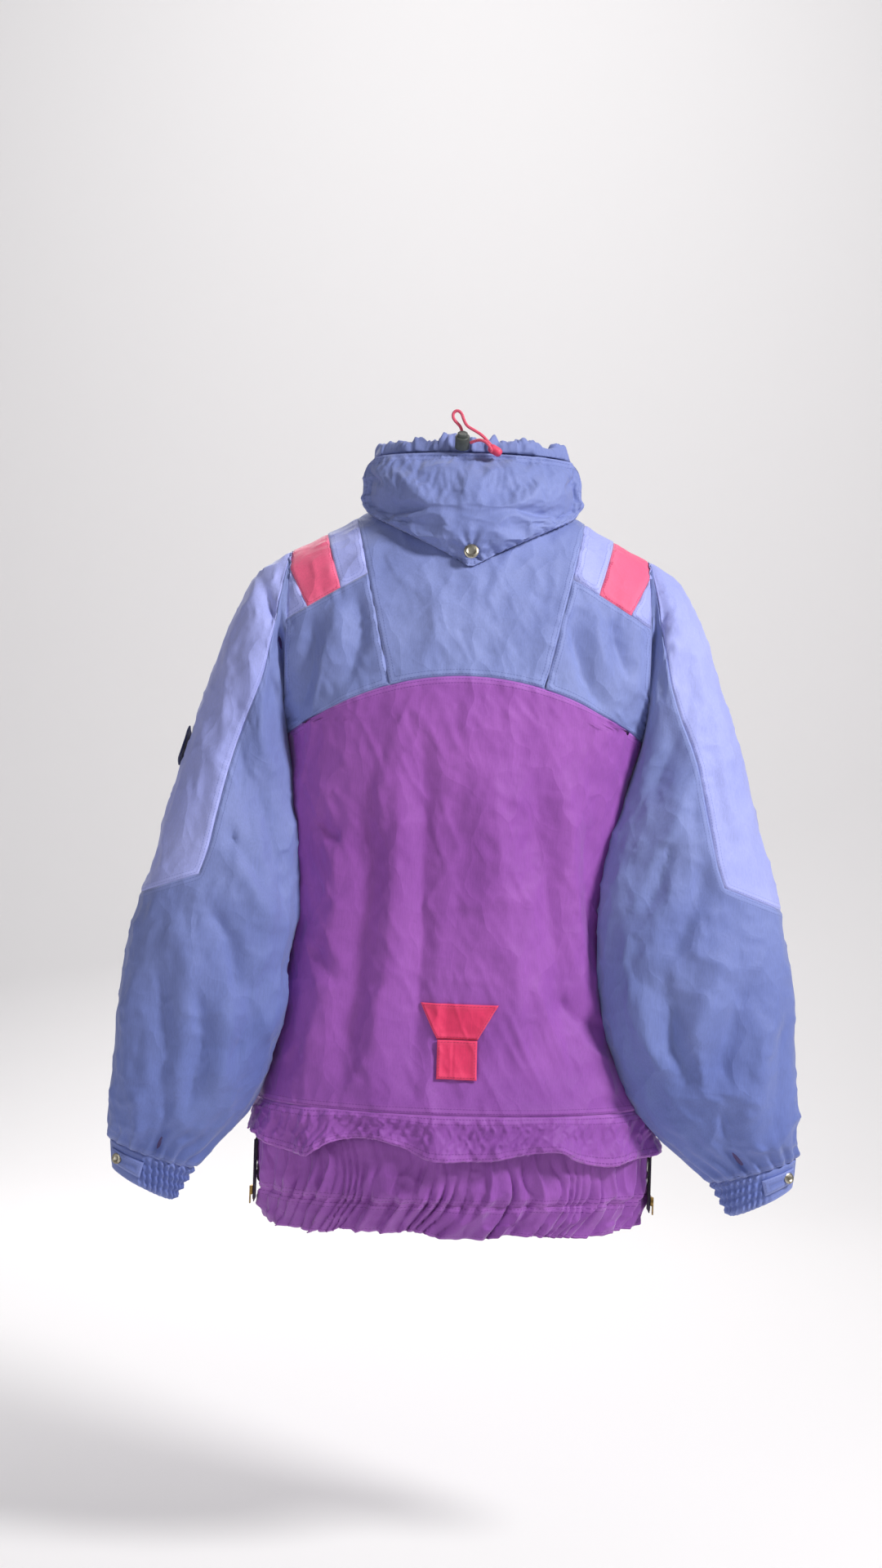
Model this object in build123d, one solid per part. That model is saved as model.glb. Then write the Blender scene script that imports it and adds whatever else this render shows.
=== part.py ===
"""A padded ski jacket, hanging as it does from its neck loop, in millimetres.

The origin is where the hanging loop bears on its hook, at the centre back of the neck. +Z is up, the front
faces -Y, and +X is the wearer's left. The garment is three layers of closed curved sheet (shell fabric,
wadding, lining), cut into its sewn panels, with the zips, snaps, cord and lock as separate hard pieces.
"""
from build123d import *
from functools import lru_cache
import math
import os

# ---- driving sizes ------------------------------------------------------------------------------------
SHELL = 2.0                  # shell fabric with its interlining
WADDING = 5.0                # insulation between shell and lining
LINING = 1.5
LAP = 0.6                    # running gap between pieces that move past each other

NECK_Z = -8.0                # height of the neck seam
NECK_HALF_WIDTH = 107.0
NECK_HALF_DEPTH = 62.0
NECK_FRONT_Y = -112.0        # centre front at the neck seam
FRONT_LEAN = 0.034           # how far the straight centre front leans out, per mm down

COLLAR_HEIGHT = 60.0
COLLAR_TAPER = 6.0           # the collar narrows by this much towards its top
CHANNEL_HEIGHT = 14.0        # drawcord channel on top of the collar
COLLAR_FOAM = 6.0

HEM_Z = -655.0               # bottom edge of the shell panels
SKIRT_Z = -745.0             # bottom edge of the gathered inner skirt
SKIRT_TOP_Z = -625.0
SKIRT_FABRIC = 3.0
SKIRT_INSET = 12.0           # the skirt hangs this far inside the shell's hem
HEM_BAND_HEIGHT = 36.0       # quilted band along the back hem
ELASTIC_HEIGHT = 20.0
SIDE_SEAM_Y = -20.0
SIDE_ZIP_X = 203.6           # the side zip lies just outside the skirt's widest line
SIDE_ZIP_Y = -12.0
SIDE_ZIP_TOP_Z = -664.0
SIDE_ZIP_BOTTOM_Z = -728.0
SIDE_ZIP_TAPE = 10.0
SIDE_ZIP_CHAIN = 4.8

ARMHOLE_X = 186.0            # the sleeves are set in at these upright planes
ARMPIT_Z = -238.0
SHOULDER_TOP_Z = -54.0
SLEEVE_WADDING = 4.0
CUFF_WALL = 4.0

YOKE_CENTRE_Z = -184.0       # lowest line of the back yoke, at the centre back
YOKE_SIDE_Z = -252.0         # and at the armhole
YOKE_SEAM_TOP_X = 121.0      # the yoke's slanting seams, at the neck and at the bottom
YOKE_SEAM_LOW_X = 80.0
SADDLE_IN = (98.0, -77.0)    # lower seam of the shoulder panel, neck end and armhole end
SADDLE_OUT = (186.0, -128.0)
PATCH_LOW = (132.0, -95.0)   # inner edge of the shoulder patch, at the lower seam and past the ridge
PATCH_HIGH = (160.0, 0.0)

ZIP_BOTTOM_Z = -648.0
ZIP_TOP_Z = 46.0
FRONT_GAP = 8.0              # half the width left between the front edges for the zip
TAPE_HALF_WIDTH = 15.0
TAPE = 1.0
CHAIN_HALF_WIDTH = 2.8
CHAIN_DEPTH = 4.0
SLIDER_LENGTH = 12.0
SLIDER_HALF_WIDTH = 6.0
PULL_LENGTH = 30.0

POCKET_BAG = 2.4             # both sheets of the pocket bag together
POCKET_LENGTH = 150.0
POCKET_WELT_WIDTH = 22.0
POCKET_X = 108.0
POCKET_Z = -455.0
POCKET_TILT = 13.0           # degrees that the pocket mouth leans out towards the hem

SNAP_RADIUS = 7.5            # a 15 mm snap cap
SNAP_HEIGHT = 3.0

CORD_RADIUS = 1.6
LOCK_RADIUS = 7.5
LOCK_LENGTH = 14.0
BUTTON_RADIUS = 5.4
BUTTON_TRAVEL = 3.0

FAR = 600.0                  # longer than any part of the jacket, for cutting tools

# Torso stations: height, half width, half depth of the shell's outside.
TORSO = [
    (NECK_Z, NECK_HALF_WIDTH, NECK_HALF_DEPTH),
    (-30, 143, 70),
    (-60, 194, 80),
    (-100, 216, 90),
    (-150, 222, 98),
    (-200, 208, 101),
    (-242, 180, 103),
    (-300, 166, 104),
    (-400, 158, 105),
    (-480, 158, 107),
    (-560, 174, 111),
    (-610, 194, 116),
    (HEM_Z, 212, 119),
]

# Left sleeve stations: inner edge (x, z), outer edge (x, z), half depth, fore-and-aft centre.
SLEEVE = [
    ((ARMHOLE_X + LAP, ARMPIT_Z), (ARMHOLE_X + LAP, SHOULDER_TOP_Z), 55, -19),
    ((184.5, -264), (222, -84), 60, -17),
    ((178, -297), (252, -150), 61, -12),
    ((174, -321), (272, -212), 61, -5),
    ((170, -345), (288, -270), 60, 4),
    ((158, -410), (322, -395), 58, 24),
    ((161, -490), (341, -495), 57, 30),
    ((176, -565), (349, -585), 54, 28),
    ((205, -628), (353, -645), 47, 20),
    ((236, -664), (354, -657), 38, 14),
    ((264, -692), (352, -664), 30, 10),
]
CUFF_END = ((285, -727), (350, -694), 25, 8)


# ---- shared helpers ---------------------------------------------------------------------------------
def front_y(z):
    """Centre front line of the shell at height z."""
    return NECK_FRONT_Y + FRONT_LEAN * (z - NECK_Z)


def ellipse_at(z, half_width, half_depth, centre_y):
    return Plane(origin=(0, centre_y, z), x_dir=(1, 0, 0), z_dir=(0, 0, 1)) * Ellipse(half_width, half_depth)


def ruled_lengths(sections):
    """Straight cloth from each section to the next, so that nested layers keep their distance."""
    return [loft(pair, ruled=True) for pair in zip(sections, sections[1:])]


def ruled_loft(sections):
    lengths = ruled_lengths(sections)
    return lengths[0] + lengths[1:]


def torso_sections(inset):
    return [ellipse_at(z, a - inset, b - inset, front_y(z) + b) for z, a, b in TORSO]


@lru_cache
def torso(inset):
    """The torso's outer shape, taken in by inset all round, as one solid."""
    return ruled_loft(torso_sections(inset))


def layer(sections_at, outer, inner):
    """The sheet between two insets of a shape: hollowed length by length, then joined."""
    rings = [a - b for a, b in zip(ruled_lengths(sections_at(outer)), ruled_lengths(sections_at(inner)))]
    return rings[0] + rings[1:]


def prism(points):
    """An outline in front view (x, z), pushed right through the jacket."""
    face = make_face(Polyline(*[(x, z) for x, z in points], close=True))
    return extrude(Plane.XZ * face, amount=FAR, both=True)


def half(side):
    """Everything behind (+1) or in front (-1) of the side seam."""
    return Pos(0, SIDE_SEAM_Y + side * FAR / 2, 0) * Box(2 * FAR, FAR, 4 * FAR)


def left_half():
    return Pos(FAR / 2, 0, 0) * Box(FAR, 4 * FAR, 4 * FAR)


def mirrored(shape):
    return mirror(shape, about=Plane.YZ)


def solids_of(shape):
    """A clean compound of a boolean's solids, without crumbs."""
    kept = [s for s in shape.solids() if s.volume > 1.0]
    return kept[0] if len(kept) == 1 else Compound(children=kept)


NODES = {}


def add(name, shape):
    NODES[name] = solids_of(shape)


def add_pair(name, left_shape):
    add(name + "_left", left_shape)
    add(name + "_right", mirrored(left_shape))


def add_group(name, left_shape):
    """Left and right pieces of one kind that stay together, as separate solids in one node."""
    add(name, Compound(children=[*left_shape.solids(), *mirrored(left_shape).solids()]))


# ---- torso shell --------------------------------------------------------------------------------------
def armhole_cutter():
    """Removes the torso beyond the two upright armhole planes, down to the armpit."""
    block = Pos(ARMHOLE_X + FAR / 2, 0, ARMPIT_Z + FAR / 2) * Box(FAR, 4 * FAR, FAR)
    return block + mirrored(block)


def yoke_arc_points(steps=10):
    """The back yoke's lower seam: one circular arc, from armhole to armhole."""
    drop = YOKE_CENTRE_Z - YOKE_SIDE_Z
    radius = (ARMHOLE_X**2 + drop**2) / (2 * drop)
    centre_z = YOKE_CENTRE_Z - radius
    reach = math.asin(ARMHOLE_X / radius)
    angles = [reach * (2 * i / steps - 1) for i in range(steps + 1)]
    return [(radius * math.sin(t), centre_z + radius * math.cos(t)) for t in angles]


def above_yoke_seam():
    arc = yoke_arc_points()
    return prism([(-FAR, YOKE_SIDE_Z)] + arc + [(FAR, YOKE_SIDE_Z), (FAR, FAR), (-FAR, FAR)])


def saddle_region():
    """The left shoulder panel and patch together, over the ridge to front and back."""
    slope = (YOKE_SEAM_TOP_X - SADDLE_IN[0]) / (NECK_Z - SADDLE_IN[1])
    top_x = SADDLE_IN[0] + slope * (FAR - SADDLE_IN[1])
    fall = (SADDLE_OUT[1] - SADDLE_IN[1]) / (SADDLE_OUT[0] - SADDLE_IN[0])
    far_z = SADDLE_IN[1] + fall * (FAR - SADDLE_IN[0])
    return prism([SADDLE_IN, (FAR, far_z), (FAR, FAR), (top_x, FAR)])


def patch_region():
    slope = (PATCH_HIGH[0] - PATCH_LOW[0]) / (PATCH_HIGH[1] - PATCH_LOW[1])
    low_x = PATCH_LOW[0] - slope * FAR
    high_x = PATCH_LOW[0] + slope * FAR
    return prism([(low_x, PATCH_LOW[1] - FAR), (FAR, PATCH_LOW[1] - FAR), (FAR, FAR), (high_x, PATCH_LOW[1] + FAR)])


def centre_yoke_region():
    slope = (YOKE_SEAM_TOP_X - YOKE_SEAM_LOW_X) / (NECK_Z - YOKE_CENTRE_Z)
    low_x = YOKE_SEAM_LOW_X - slope * (YOKE_CENTRE_Z + FAR)
    high_x = YOKE_SEAM_TOP_X + slope * (FAR - NECK_Z)
    return prism([(-low_x, -FAR), (low_x, -FAR), (high_x, FAR), (-high_x, FAR)])


def build_torso():
    skin = layer(torso_sections, 0, SHELL) - armhole_cutter()
    saddle = saddle_region()
    saddles = saddle + mirrored(saddle)
    back = (skin & half(1)) - saddles
    front = (skin & half(-1)) - saddles

    yoke = back & above_yoke_seam()
    centre = centre_yoke_region()
    add("back_yoke_center", yoke & centre)
    side_yoke = (yoke - centre) & left_half()
    add_pair("back_yoke", side_yoke)

    back_low = back - above_yoke_seam()
    band_top = Pos(0, 0, HEM_Z + HEM_BAND_HEIGHT + FAR / 2) * Box(2 * FAR, 2 * FAR, FAR)
    add("back_panel", back_low & band_top)
    add("back_hem_band", back_low - band_top)

    over_ridge = skin & saddle
    patch = patch_region()
    add_pair("shoulder_panel", over_ridge - patch)
    add_group("shoulder_patches", over_ridge & patch)

    gap = Box(2 * FRONT_GAP, 4 * FAR, 4 * FAR)
    pocket = pocket_plane() * Box(POCKET_LENGTH, POCKET_WELT_WIDTH, 60)
    add_pair("front_panel", ((front - gap) & left_half()) - pocket)

    zip_room = Pos(0, -FAR / 2 + SIDE_SEAM_Y, 0) * Box(2 * TAPE_HALF_WIDTH + 10, FAR, 4 * FAR)
    pockets = pocket + mirrored(pocket)
    inner_cut = armhole_cutter() + zip_room + pockets
    wadding = layer(torso_sections, SHELL, SHELL + WADDING) - inner_cut
    add("torso_wadding", wadding)
    lining = layer(torso_sections, SHELL + WADDING, SHELL + WADDING + LINING) - inner_cut
    add("torso_lining", lining)


def build_tail_patch():
    """A funnel-shaped patch on the back panel, with a square tab that lifts below it."""
    plate = layer(torso_sections, -1.8, -0.2) & half(1)
    funnel = prism([(-39.5, -510), (39.5, -510), (20.5, -545), (-20.5, -545)])
    add("tail_patch", plate & funnel)
    flap = layer(torso_sections, -3.0, -1.0) & half(1)
    tab = prism([(-20.5, -545 - LAP), (20.5, -545 - LAP), (20.0, -584), (-20.0, -584)])
    add("tail_tab", flap & tab)


# ---- hem skirt ------------------------------------------------------------------------------------------
def skirt_sections(inset):
    stations = [(SKIRT_TOP_Z, 188, 103), (HEM_Z, 199, 106), (-700, 203, 104), (-722, 196, 99), (SKIRT_Z, 188, 93)]
    return [ellipse_at(z, a - inset, b - inset, front_y(z) + b + SKIRT_INSET) for z, a, b in stations]


def build_skirt():
    gap = Pos(0, -FAR / 2 + SIDE_SEAM_Y, 0) * Box(2 * FRONT_GAP, FAR, 4 * FAR)
    add("hem_skirt", layer(skirt_sections, 0, SKIRT_FABRIC) - gap)
    low_z = SKIRT_Z + 5
    keep = Pos(0, 0, low_z + ELASTIC_HEIGHT / 2) * Box(4 * FAR, 4 * FAR, ELASTIC_HEIGHT)
    elastic = (layer(skirt_sections, SKIRT_FABRIC + 0.3, SKIRT_FABRIC + 2.3) & keep) - gap
    add("hem_elastic", elastic)
    build_side_zips()


def build_side_zips():
    """A short zip down each side of the skirt: two tapes, a chain between them and a slider outside."""
    length = SIDE_ZIP_TOP_Z - SIDE_ZIP_BOTTOM_Z
    middle_z = (SIDE_ZIP_TOP_Z + SIDE_ZIP_BOTTOM_Z) / 2

    def block(low_x, high_x, width, y, z, height):
        return Pos((low_x + high_x) / 2, SIDE_ZIP_Y + y, z) * Box(high_x - low_x, width, height)

    tape_offset = (SIDE_ZIP_TAPE + SIDE_ZIP_CHAIN) / 2
    tapes = [block(SIDE_ZIP_X, SIDE_ZIP_X + TAPE, SIDE_ZIP_TAPE, s * tape_offset, middle_z, length) for s in (-1, 1)]
    chain = block(SIDE_ZIP_X, SIDE_ZIP_X + 2.4, SIDE_ZIP_CHAIN, 0, middle_z, length - 4)
    add_group("side_zips", Compound(children=[*tapes, chain]))
    slider_z = SIDE_ZIP_BOTTOM_Z + 10
    out = SIDE_ZIP_X + 2.4 + 0.3
    body = block(out, out + 1.8, SIDE_ZIP_CHAIN + 3, 0, slider_z, 9)
    pull = block(out + 1.8, out + 3.2, 4, 0, slider_z - 5, 18)
    add_pair("side_zip_slider", body + pull)


# ---- collar, drawcord channel and hood pouch --------------------------------------------------------
def collar_tube(low_z, high_z, inset):
    def ring(z):
        taper = COLLAR_TAPER * (z - NECK_Z) / COLLAR_HEIGHT
        b = NECK_HALF_DEPTH - taper * 0.6
        return ellipse_at(z, NECK_HALF_WIDTH - taper - inset, b - inset, front_y(z) + b)
    return ruled_loft([ring(low_z), ring(high_z)])


def collar_part(low_z, high_z, outer, inner, half_gap):
    gap = Pos(0, -FAR / 2 - 50, 0) * Box(2 * half_gap, FAR, 4 * FAR)
    return collar_tube(low_z, high_z, outer) - collar_tube(low_z - 1, high_z + 1, inner) - gap


def build_collar():
    top = NECK_Z + COLLAR_HEIGHT
    add("collar_shell", collar_part(NECK_Z, top, 0, SHELL, FRONT_GAP))
    add("collar_padding", collar_part(NECK_Z, top, SHELL, SHELL + COLLAR_FOAM, TAPE_HALF_WIDTH + 5))
    channel = collar_part(top, top + CHANNEL_HEIGHT, 0, SHELL + COLLAR_FOAM, TAPE_HALF_WIDTH + 5)
    add("drawcord_channel", channel)


POUCH_HALF = [(94, 44), (107, 33), (109, 20), (109, 0), (103, -14)]
POUCH_OUTLINE = POUCH_HALF + [(-x, z) for x, z in reversed(POUCH_HALF)]


def pouch_shape(stations, inset):
    """Lofted bulge behind the collar: stations give height, half width and how far back it reaches."""
    return ruled_loft([ellipse_at(z, a - inset, back + 50 - inset, -50) for z, a, back in stations])


def inset_outline(points, by):
    return [(x - math.copysign(by, x), z - (by if z > 0 else -by)) for x, z in points]


def build_hood_pouch():
    """The stuffed pouch behind the collar: a closed cover with the hood rolled up inside it."""
    outside = [(46, 110, 14), (34, 124, 36), (14, 131, 46), (-16, 137, 48)]
    inside = [(46, 108, 13), (34, 109, 14), (0, 113, 18), (-16, 127, 22)]
    behind = Pos(0, -24 + FAR / 2, 0) * Box(4 * FAR, FAR, 4 * FAR)
    cover = (pouch_shape(outside, 0) - pouch_shape(inside, 0)) & prism(POUCH_OUTLINE) & behind
    further_behind = Pos(0, -12 + FAR / 2, 0) * Box(4 * FAR, FAR, 4 * FAR)
    core_outline = prism(inset_outline(POUCH_OUTLINE, 6))
    core = (pouch_shape(outside, 3) - pouch_shape(inside, -3)) & core_outline & further_behind
    add("hood_pouch", cover - core)
    add("rolled_hood", core)


LOOP_HALF = 24.0             # half the length of the hanging loop
LOOP_TAPE = 6.0              # and the width of its tape
LOOP_THICK = 1.2
FLAP_TOP_Z = -14 - LAP
FLAP_POINT_Z = -71.0
FLAP_OUTSIDE = [(-13, 142, 48), (-44, 180, 58), (-72, 215, 65)]
FLAP_THICKNESS = 7.0
FLAP_SNAP_Z = -58.0


def build_hood_flap():
    """The V flap that closes the pouch, held at its point by one snap."""
    plate = pouch_shape(FLAP_OUTSIDE, 0) - pouch_shape(FLAP_OUTSIDE, FLAP_THICKNESS)
    behind = Pos(0, FAR / 2, 0) * Box(4 * FAR, FAR, 4 * FAR)
    outline = prism([(-84, FLAP_TOP_Z), (84, FLAP_TOP_Z), (8, FLAP_POINT_Z), (-8, FLAP_POINT_Z)])
    add("hood_flap", plate & outline & behind)
    face = section_back(FLAP_OUTSIDE, FLAP_SNAP_Z)
    seat = Plane(origin=(0, face, FLAP_SNAP_Z), x_dir=(1, 0, 0), z_dir=(0, 0.97, 0.24))
    cap = seat * Cylinder(SNAP_RADIUS, SNAP_HEIGHT, align=(Align.CENTER, Align.CENTER, Align.MIN))
    add("hood_flap_snap", cap - pouch_shape(FLAP_OUTSIDE, 0))
    inner_face = face - FLAP_THICKNESS
    shell_y = torso_back(FLAP_SNAP_Z)
    stud = Pos(0, shell_y - 1, FLAP_SNAP_Z) * Rot(-90, 0, 0) * Cylinder(
        3.5, inner_face - shell_y - 1.2, align=(Align.CENTER, Align.CENTER, Align.MIN))
    add("yoke_snap_stud", stud - torso(0))


def section_back(stations, z):
    for (z0, _, y0), (z1, _, y1) in zip(stations, stations[1:]):
        if z1 <= z <= z0:
            return y0 + (y1 - y0) * (z - z0) / (z1 - z0)
    raise ValueError("height outside the stations")


def torso_back(z):
    """Centre back line of the shell at height z, between stations."""
    for (z0, _, b0), (z1, _, b1) in zip(TORSO, TORSO[1:]):
        if z1 <= z <= z0:
            b = b0 + (b1 - b0) * (z - z0) / (z1 - z0)
            return front_y(z) + 2 * b
    raise ValueError("height outside the torso")


def build_hanging_loop():
    """A tape loop at the centre back, sewn in at its two ends; the hook bears under its bar."""
    low_z = NECK_Z - 8
    outline = make_face(Polyline((-LOOP_HALF, low_z), (-LOOP_HALF, LOOP_TAPE), (LOOP_HALF, LOOP_TAPE),
                                 (LOOP_HALF, low_z), close=True))
    gap_half = LOOP_HALF - LOOP_TAPE
    gap = make_face(Polyline((-gap_half, low_z - 1), (-gap_half, 0), (gap_half, 0), (gap_half, low_z - 1), close=True))
    strip = extrude(Plane.XZ * (outline - gap), amount=LOOP_THICK / 2, both=True)
    add("hanging_loop", strip)


# ---- sleeves ------------------------------------------------------------------------------------------
def sleeve_plane(inner, outer, centre_y):
    across = Vector(outer[0] - inner[0], 0, outer[1] - inner[1]).normalized()
    along = across.cross(Vector(0, -1, 0))
    middle = ((inner[0] + outer[0]) / 2, centre_y, (inner[1] + outer[1]) / 2)
    return Plane(origin=middle, x_dir=across, z_dir=along)


def sleeve_section(station, inset):
    inner, outer, depth, centre_y = station
    width = math.dist(inner, outer) / 2
    return sleeve_plane(inner, outer, centre_y) * Ellipse(width - inset, depth - inset)


def sleeve_sections(inset):
    return [sleeve_section(s, inset) for s in SLEEVE]


def cuff_sections(inset):
    return [sleeve_section(s, inset) for s in (SLEEVE[-1], CUFF_END)]


BAND_EDGE = [(150, 60), (199, -145), (208, -192), (230, -254), (254, -370), (268, -408), (600, -525), (600, 60)]
BADGE_Z = -262.0
BADGE_HALF = 20.0
BADGE_FROM_X = 250.0         # the badge is on the outer side only


def build_sleeves():
    skin = layer(sleeve_sections, 0, SHELL)
    band = prism(BAND_EDGE)
    add_pair("sleeve_band", skin & band)
    add_pair("sleeve_body", skin - band)
    add_pair("sleeve_lining", layer(sleeve_sections, SHELL, SHELL + SLEEVE_WADDING + LINING))
    add_pair("cuff", layer(cuff_sections, 0, CUFF_WALL))
    build_cuff_tab()
    hexagon = Plane(origin=(BADGE_FROM_X, -2, BADGE_Z), x_dir=(0, 1, 0), z_dir=(1, 0, 0)) * RegularPolygon(BADGE_HALF, 6)
    add("sleeve_badge", layer(sleeve_sections, -1.5, -0.2) & extrude(hexagon, amount=FAR))


def cuff_frame():
    """Plane at the middle of the cuff: x across to the outer edge, z along the arm."""
    middle = [tuple((a + b) / 2 for a, b in zip(p, q)) for p, q in zip(SLEEVE[-1][:2], CUFF_END[:2])]
    return sleeve_plane(middle[0], middle[1], (SLEEVE[-1][3] + CUFF_END[3]) / 2)


def build_cuff_tab():
    """A strap over the back of the cuff that snaps at its outer end."""
    frame = cuff_frame()
    reach = Pos(17, -FAR / 2, 0) * Box(30, FAR, 20)
    plate = layer(cuff_sections, -2.6, -LAP) & (frame * reach)
    add_pair("cuff_tab", plate)
    seat = frame * Pos(20, 0, 0) * Rot(90, 0, 0) * Rot(0, 28, 0)
    button = seat * Cylinder(5.5, 80, align=(Align.CENTER, Align.CENTER, Align.MIN))
    add_pair("cuff_snap", button & layer(cuff_sections, -4.6, -2.6))


# ---- main zip --------------------------------------------------------------------------------------------
def front_plane():
    """Plane on the centre front line, its z out of the jacket and its y up the line."""
    return Plane(origin=(0, front_y(0), 0), x_dir=(1, 0, 0), z_dir=(0, -1, FRONT_LEAN))


def on_front(low_z, high_z, half_width, out_low, out_high, centre_x=0.0):
    block = Pos(centre_x, (low_z + high_z) / 2, (out_low + out_high) / 2) * Box(
        2 * half_width, high_z - low_z, out_high - out_low)
    return front_plane() * block


TAPE_OUT = -3.1              # outer face of the zip tape, measured out from the centre front line
CHAIN_OUT = -0.6
SLIDER_Z = ZIP_TOP_Z - SLIDER_LENGTH / 2 - 3


def build_main_zip():
    tape_width = (TAPE_HALF_WIDTH - CHAIN_HALF_WIDTH) / 2
    tape = on_front(ZIP_BOTTOM_Z, ZIP_TOP_Z, tape_width, TAPE_OUT - TAPE, TAPE_OUT,
                    centre_x=CHAIN_HALF_WIDTH + tape_width)
    add_group("zip_tapes", tape)
    chain_top = ZIP_TOP_Z - 2
    add("zip_chain", on_front(ZIP_BOTTOM_Z + 8, chain_top, CHAIN_HALF_WIDTH, CHAIN_OUT - CHAIN_DEPTH, CHAIN_OUT))
    box = on_front(ZIP_BOTTOM_Z, ZIP_BOTTOM_Z + 8, CHAIN_HALF_WIDTH + 1.5, CHAIN_OUT - CHAIN_DEPTH, CHAIN_OUT + 0.4)
    add("zip_bottom_box", box - tape - mirrored(tape))
    draft = on_front(ZIP_BOTTOM_Z, ZIP_TOP_Z - 4, TAPE_HALF_WIDTH + 3, TAPE_OUT - TAPE - 3.6, TAPE_OUT - TAPE - 2.4)
    add("draft_flap", draft)


def slider_plates():
    """Two plates, one each side of the chain, with rims that leave the tape free."""
    low, high = SLIDER_Z - SLIDER_LENGTH / 2, SLIDER_Z + SLIDER_LENGTH / 2
    outer = on_front(low, high, SLIDER_HALF_WIDTH, CHAIN_OUT + 0.3, CHAIN_OUT + 1.9)
    chain_back = CHAIN_OUT - CHAIN_DEPTH
    inner = on_front(low, high, SLIDER_HALF_WIDTH, chain_back - 1.6, chain_back - 0.3)
    rim_width = (SLIDER_HALF_WIDTH - CHAIN_HALF_WIDTH - 0.4) / 2
    rim_x = SLIDER_HALF_WIDTH - rim_width
    rims = [on_front(low, high, rim_width, TAPE_OUT + 0.3, CHAIN_OUT + 0.3, centre_x=s * rim_x) for s in (-1, 1)]
    return outer + rims[0] + rims[1], inner


PULL_PIVOT_OUT = CHAIN_OUT + 1.9 + 1.6


def build_slider():
    front, back = slider_plates()
    bail_legs = [on_front(SLIDER_Z - 1.5, SLIDER_Z + 1.5, 0.7, CHAIN_OUT + 1.9, PULL_PIVOT_OUT + 1.6, centre_x=s * 3.2)
                 for s in (-1, 1)]
    pin = front_plane() * Pos(0, SLIDER_Z, PULL_PIVOT_OUT) * Rot(0, 90, 0) * Cylinder(0.8, 5.4)
    add("zip_slider", Compound(children=[*(front + bail_legs[0] + bail_legs[1] + pin).solids(), *back.solids()]))
    plate = on_front(SLIDER_Z - PULL_LENGTH, SLIDER_Z, 2.3, PULL_PIVOT_OUT - 1.1, PULL_PIVOT_OUT + 1.1)
    eye = front_plane() * Pos(0, SLIDER_Z, PULL_PIVOT_OUT) * Rot(0, 90, 0) * Cylinder(1.5, 4.6)
    hole = front_plane() * Pos(0, SLIDER_Z, PULL_PIVOT_OUT) * Rot(0, 90, 0) * Cylinder(0.86, 10)
    grip = on_front(SLIDER_Z - PULL_LENGTH, SLIDER_Z - 12, 4.5, PULL_PIVOT_OUT - 1.1, PULL_PIVOT_OUT + 1.1)
    add("zip_pull", plate + grip + eye - hole)


# ---- hand pockets ------------------------------------------------------------------------------------------
def pocket_plane():
    """Plane on the left front: x down the pocket mouth, z out of the shell."""
    a, b = next((a + (a2 - a) * t, b + (b2 - b) * t) for (z, a, b), (z2, a2, b2) in zip(TORSO, TORSO[1:])
                if z2 <= POCKET_Z <= z for t in [(POCKET_Z - z) / (z2 - z)])
    dy = b * math.sqrt(1 - (POCKET_X / a) ** 2)
    normal = Vector(POCKET_X / a**2, -dy / b**2, 0).normalized()
    tilt = math.radians(POCKET_TILT)
    side = normal.cross(Vector(0, 0, -1))
    if side.X < 0:
        side = side * -1
    down = Vector(0, 0, -1) * math.cos(tilt) + side * math.sin(tilt)
    centre_y = front_y(POCKET_Z) + b
    return Plane(origin=(POCKET_X, centre_y - dy, POCKET_Z), x_dir=down, z_dir=normal)


POCKET_OUT = 3.0             # the welt stands this proud of the shell
WELT_DEPTH = 6.0


def build_pockets():
    frame = pocket_plane()
    mouth_half = 3.6
    slot_length = POCKET_LENGTH - 2 * 9

    def block(length, width, low, high, x=0.0, y=0.0):
        return frame * (Pos(x, y, (low + high) / 2) * Box(length, width, high - low))

    welt = block(POCKET_LENGTH - 0.4, POCKET_WELT_WIDTH - 0.4, -WELT_DEPTH, POCKET_OUT) - block(
        slot_length, 2 * mouth_half, -10, POCKET_OUT + 5)
    add_group("pocket_welts", welt)
    zip_chain = block(slot_length - 0.4, 2 * mouth_half - 0.2, -3, -1) + block(slot_length - 0.4, 3.2, -4, 0.6)
    add_group("pocket_zips", zip_chain)
    bag_inset = SHELL + WADDING + LINING + LAP
    sheets = layer(torso_sections, bag_inset, bag_inset + POCKET_BAG) & half(-1)
    bag_outline = prism([(70, POCKET_Z + 70), (118, POCKET_Z + 70), (124, POCKET_Z - 90), (52, POCKET_Z - 90)])
    welt_room = block(POCKET_LENGTH + 2 * LAP, POCKET_WELT_WIDTH + 2 * LAP, -WELT_DEPTH - LAP, FAR)
    add_group("pocket_bags", (sheets & bag_outline) - welt_room)
    start = -slot_length / 2 + 8
    body = block(9, 6.6, 0.9, 3.4, x=start)
    bridge = [block(2.6, 0.9, 3.4, 6.8, x=start, y=s * 2.4) for s in (-1, 1)]
    pivot = frame * Pos(start, 0, 5.3) * Rot(90, 0, 0)
    pin = pivot * Cylinder(0.7, 4.6)
    add_pair("pocket_slider", body + bridge[0] + bridge[1] + pin)
    plate = block(20, 3.4, 4.4, 6.2, x=start + 9) + block(10, 6.0, 4.4, 6.2, x=start + 15)
    eye = pivot * Cylinder(1.35, 3.4)
    add_pair("pocket_pull", plate + eye - pivot * Cylinder(0.76, 8))


# ---- neck drawcord ----------------------------------------------------------------------------------------
LOCK_CENTRE = (12.0, 21.0, 58.0)
LOCK_AXIS = (0.0, 0.6, 0.8)
CORD_END = (-21.5, 27.0, 49.5)      # middle of the moulded cord end
CORD_END_RADIUS = 5.5

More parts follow.
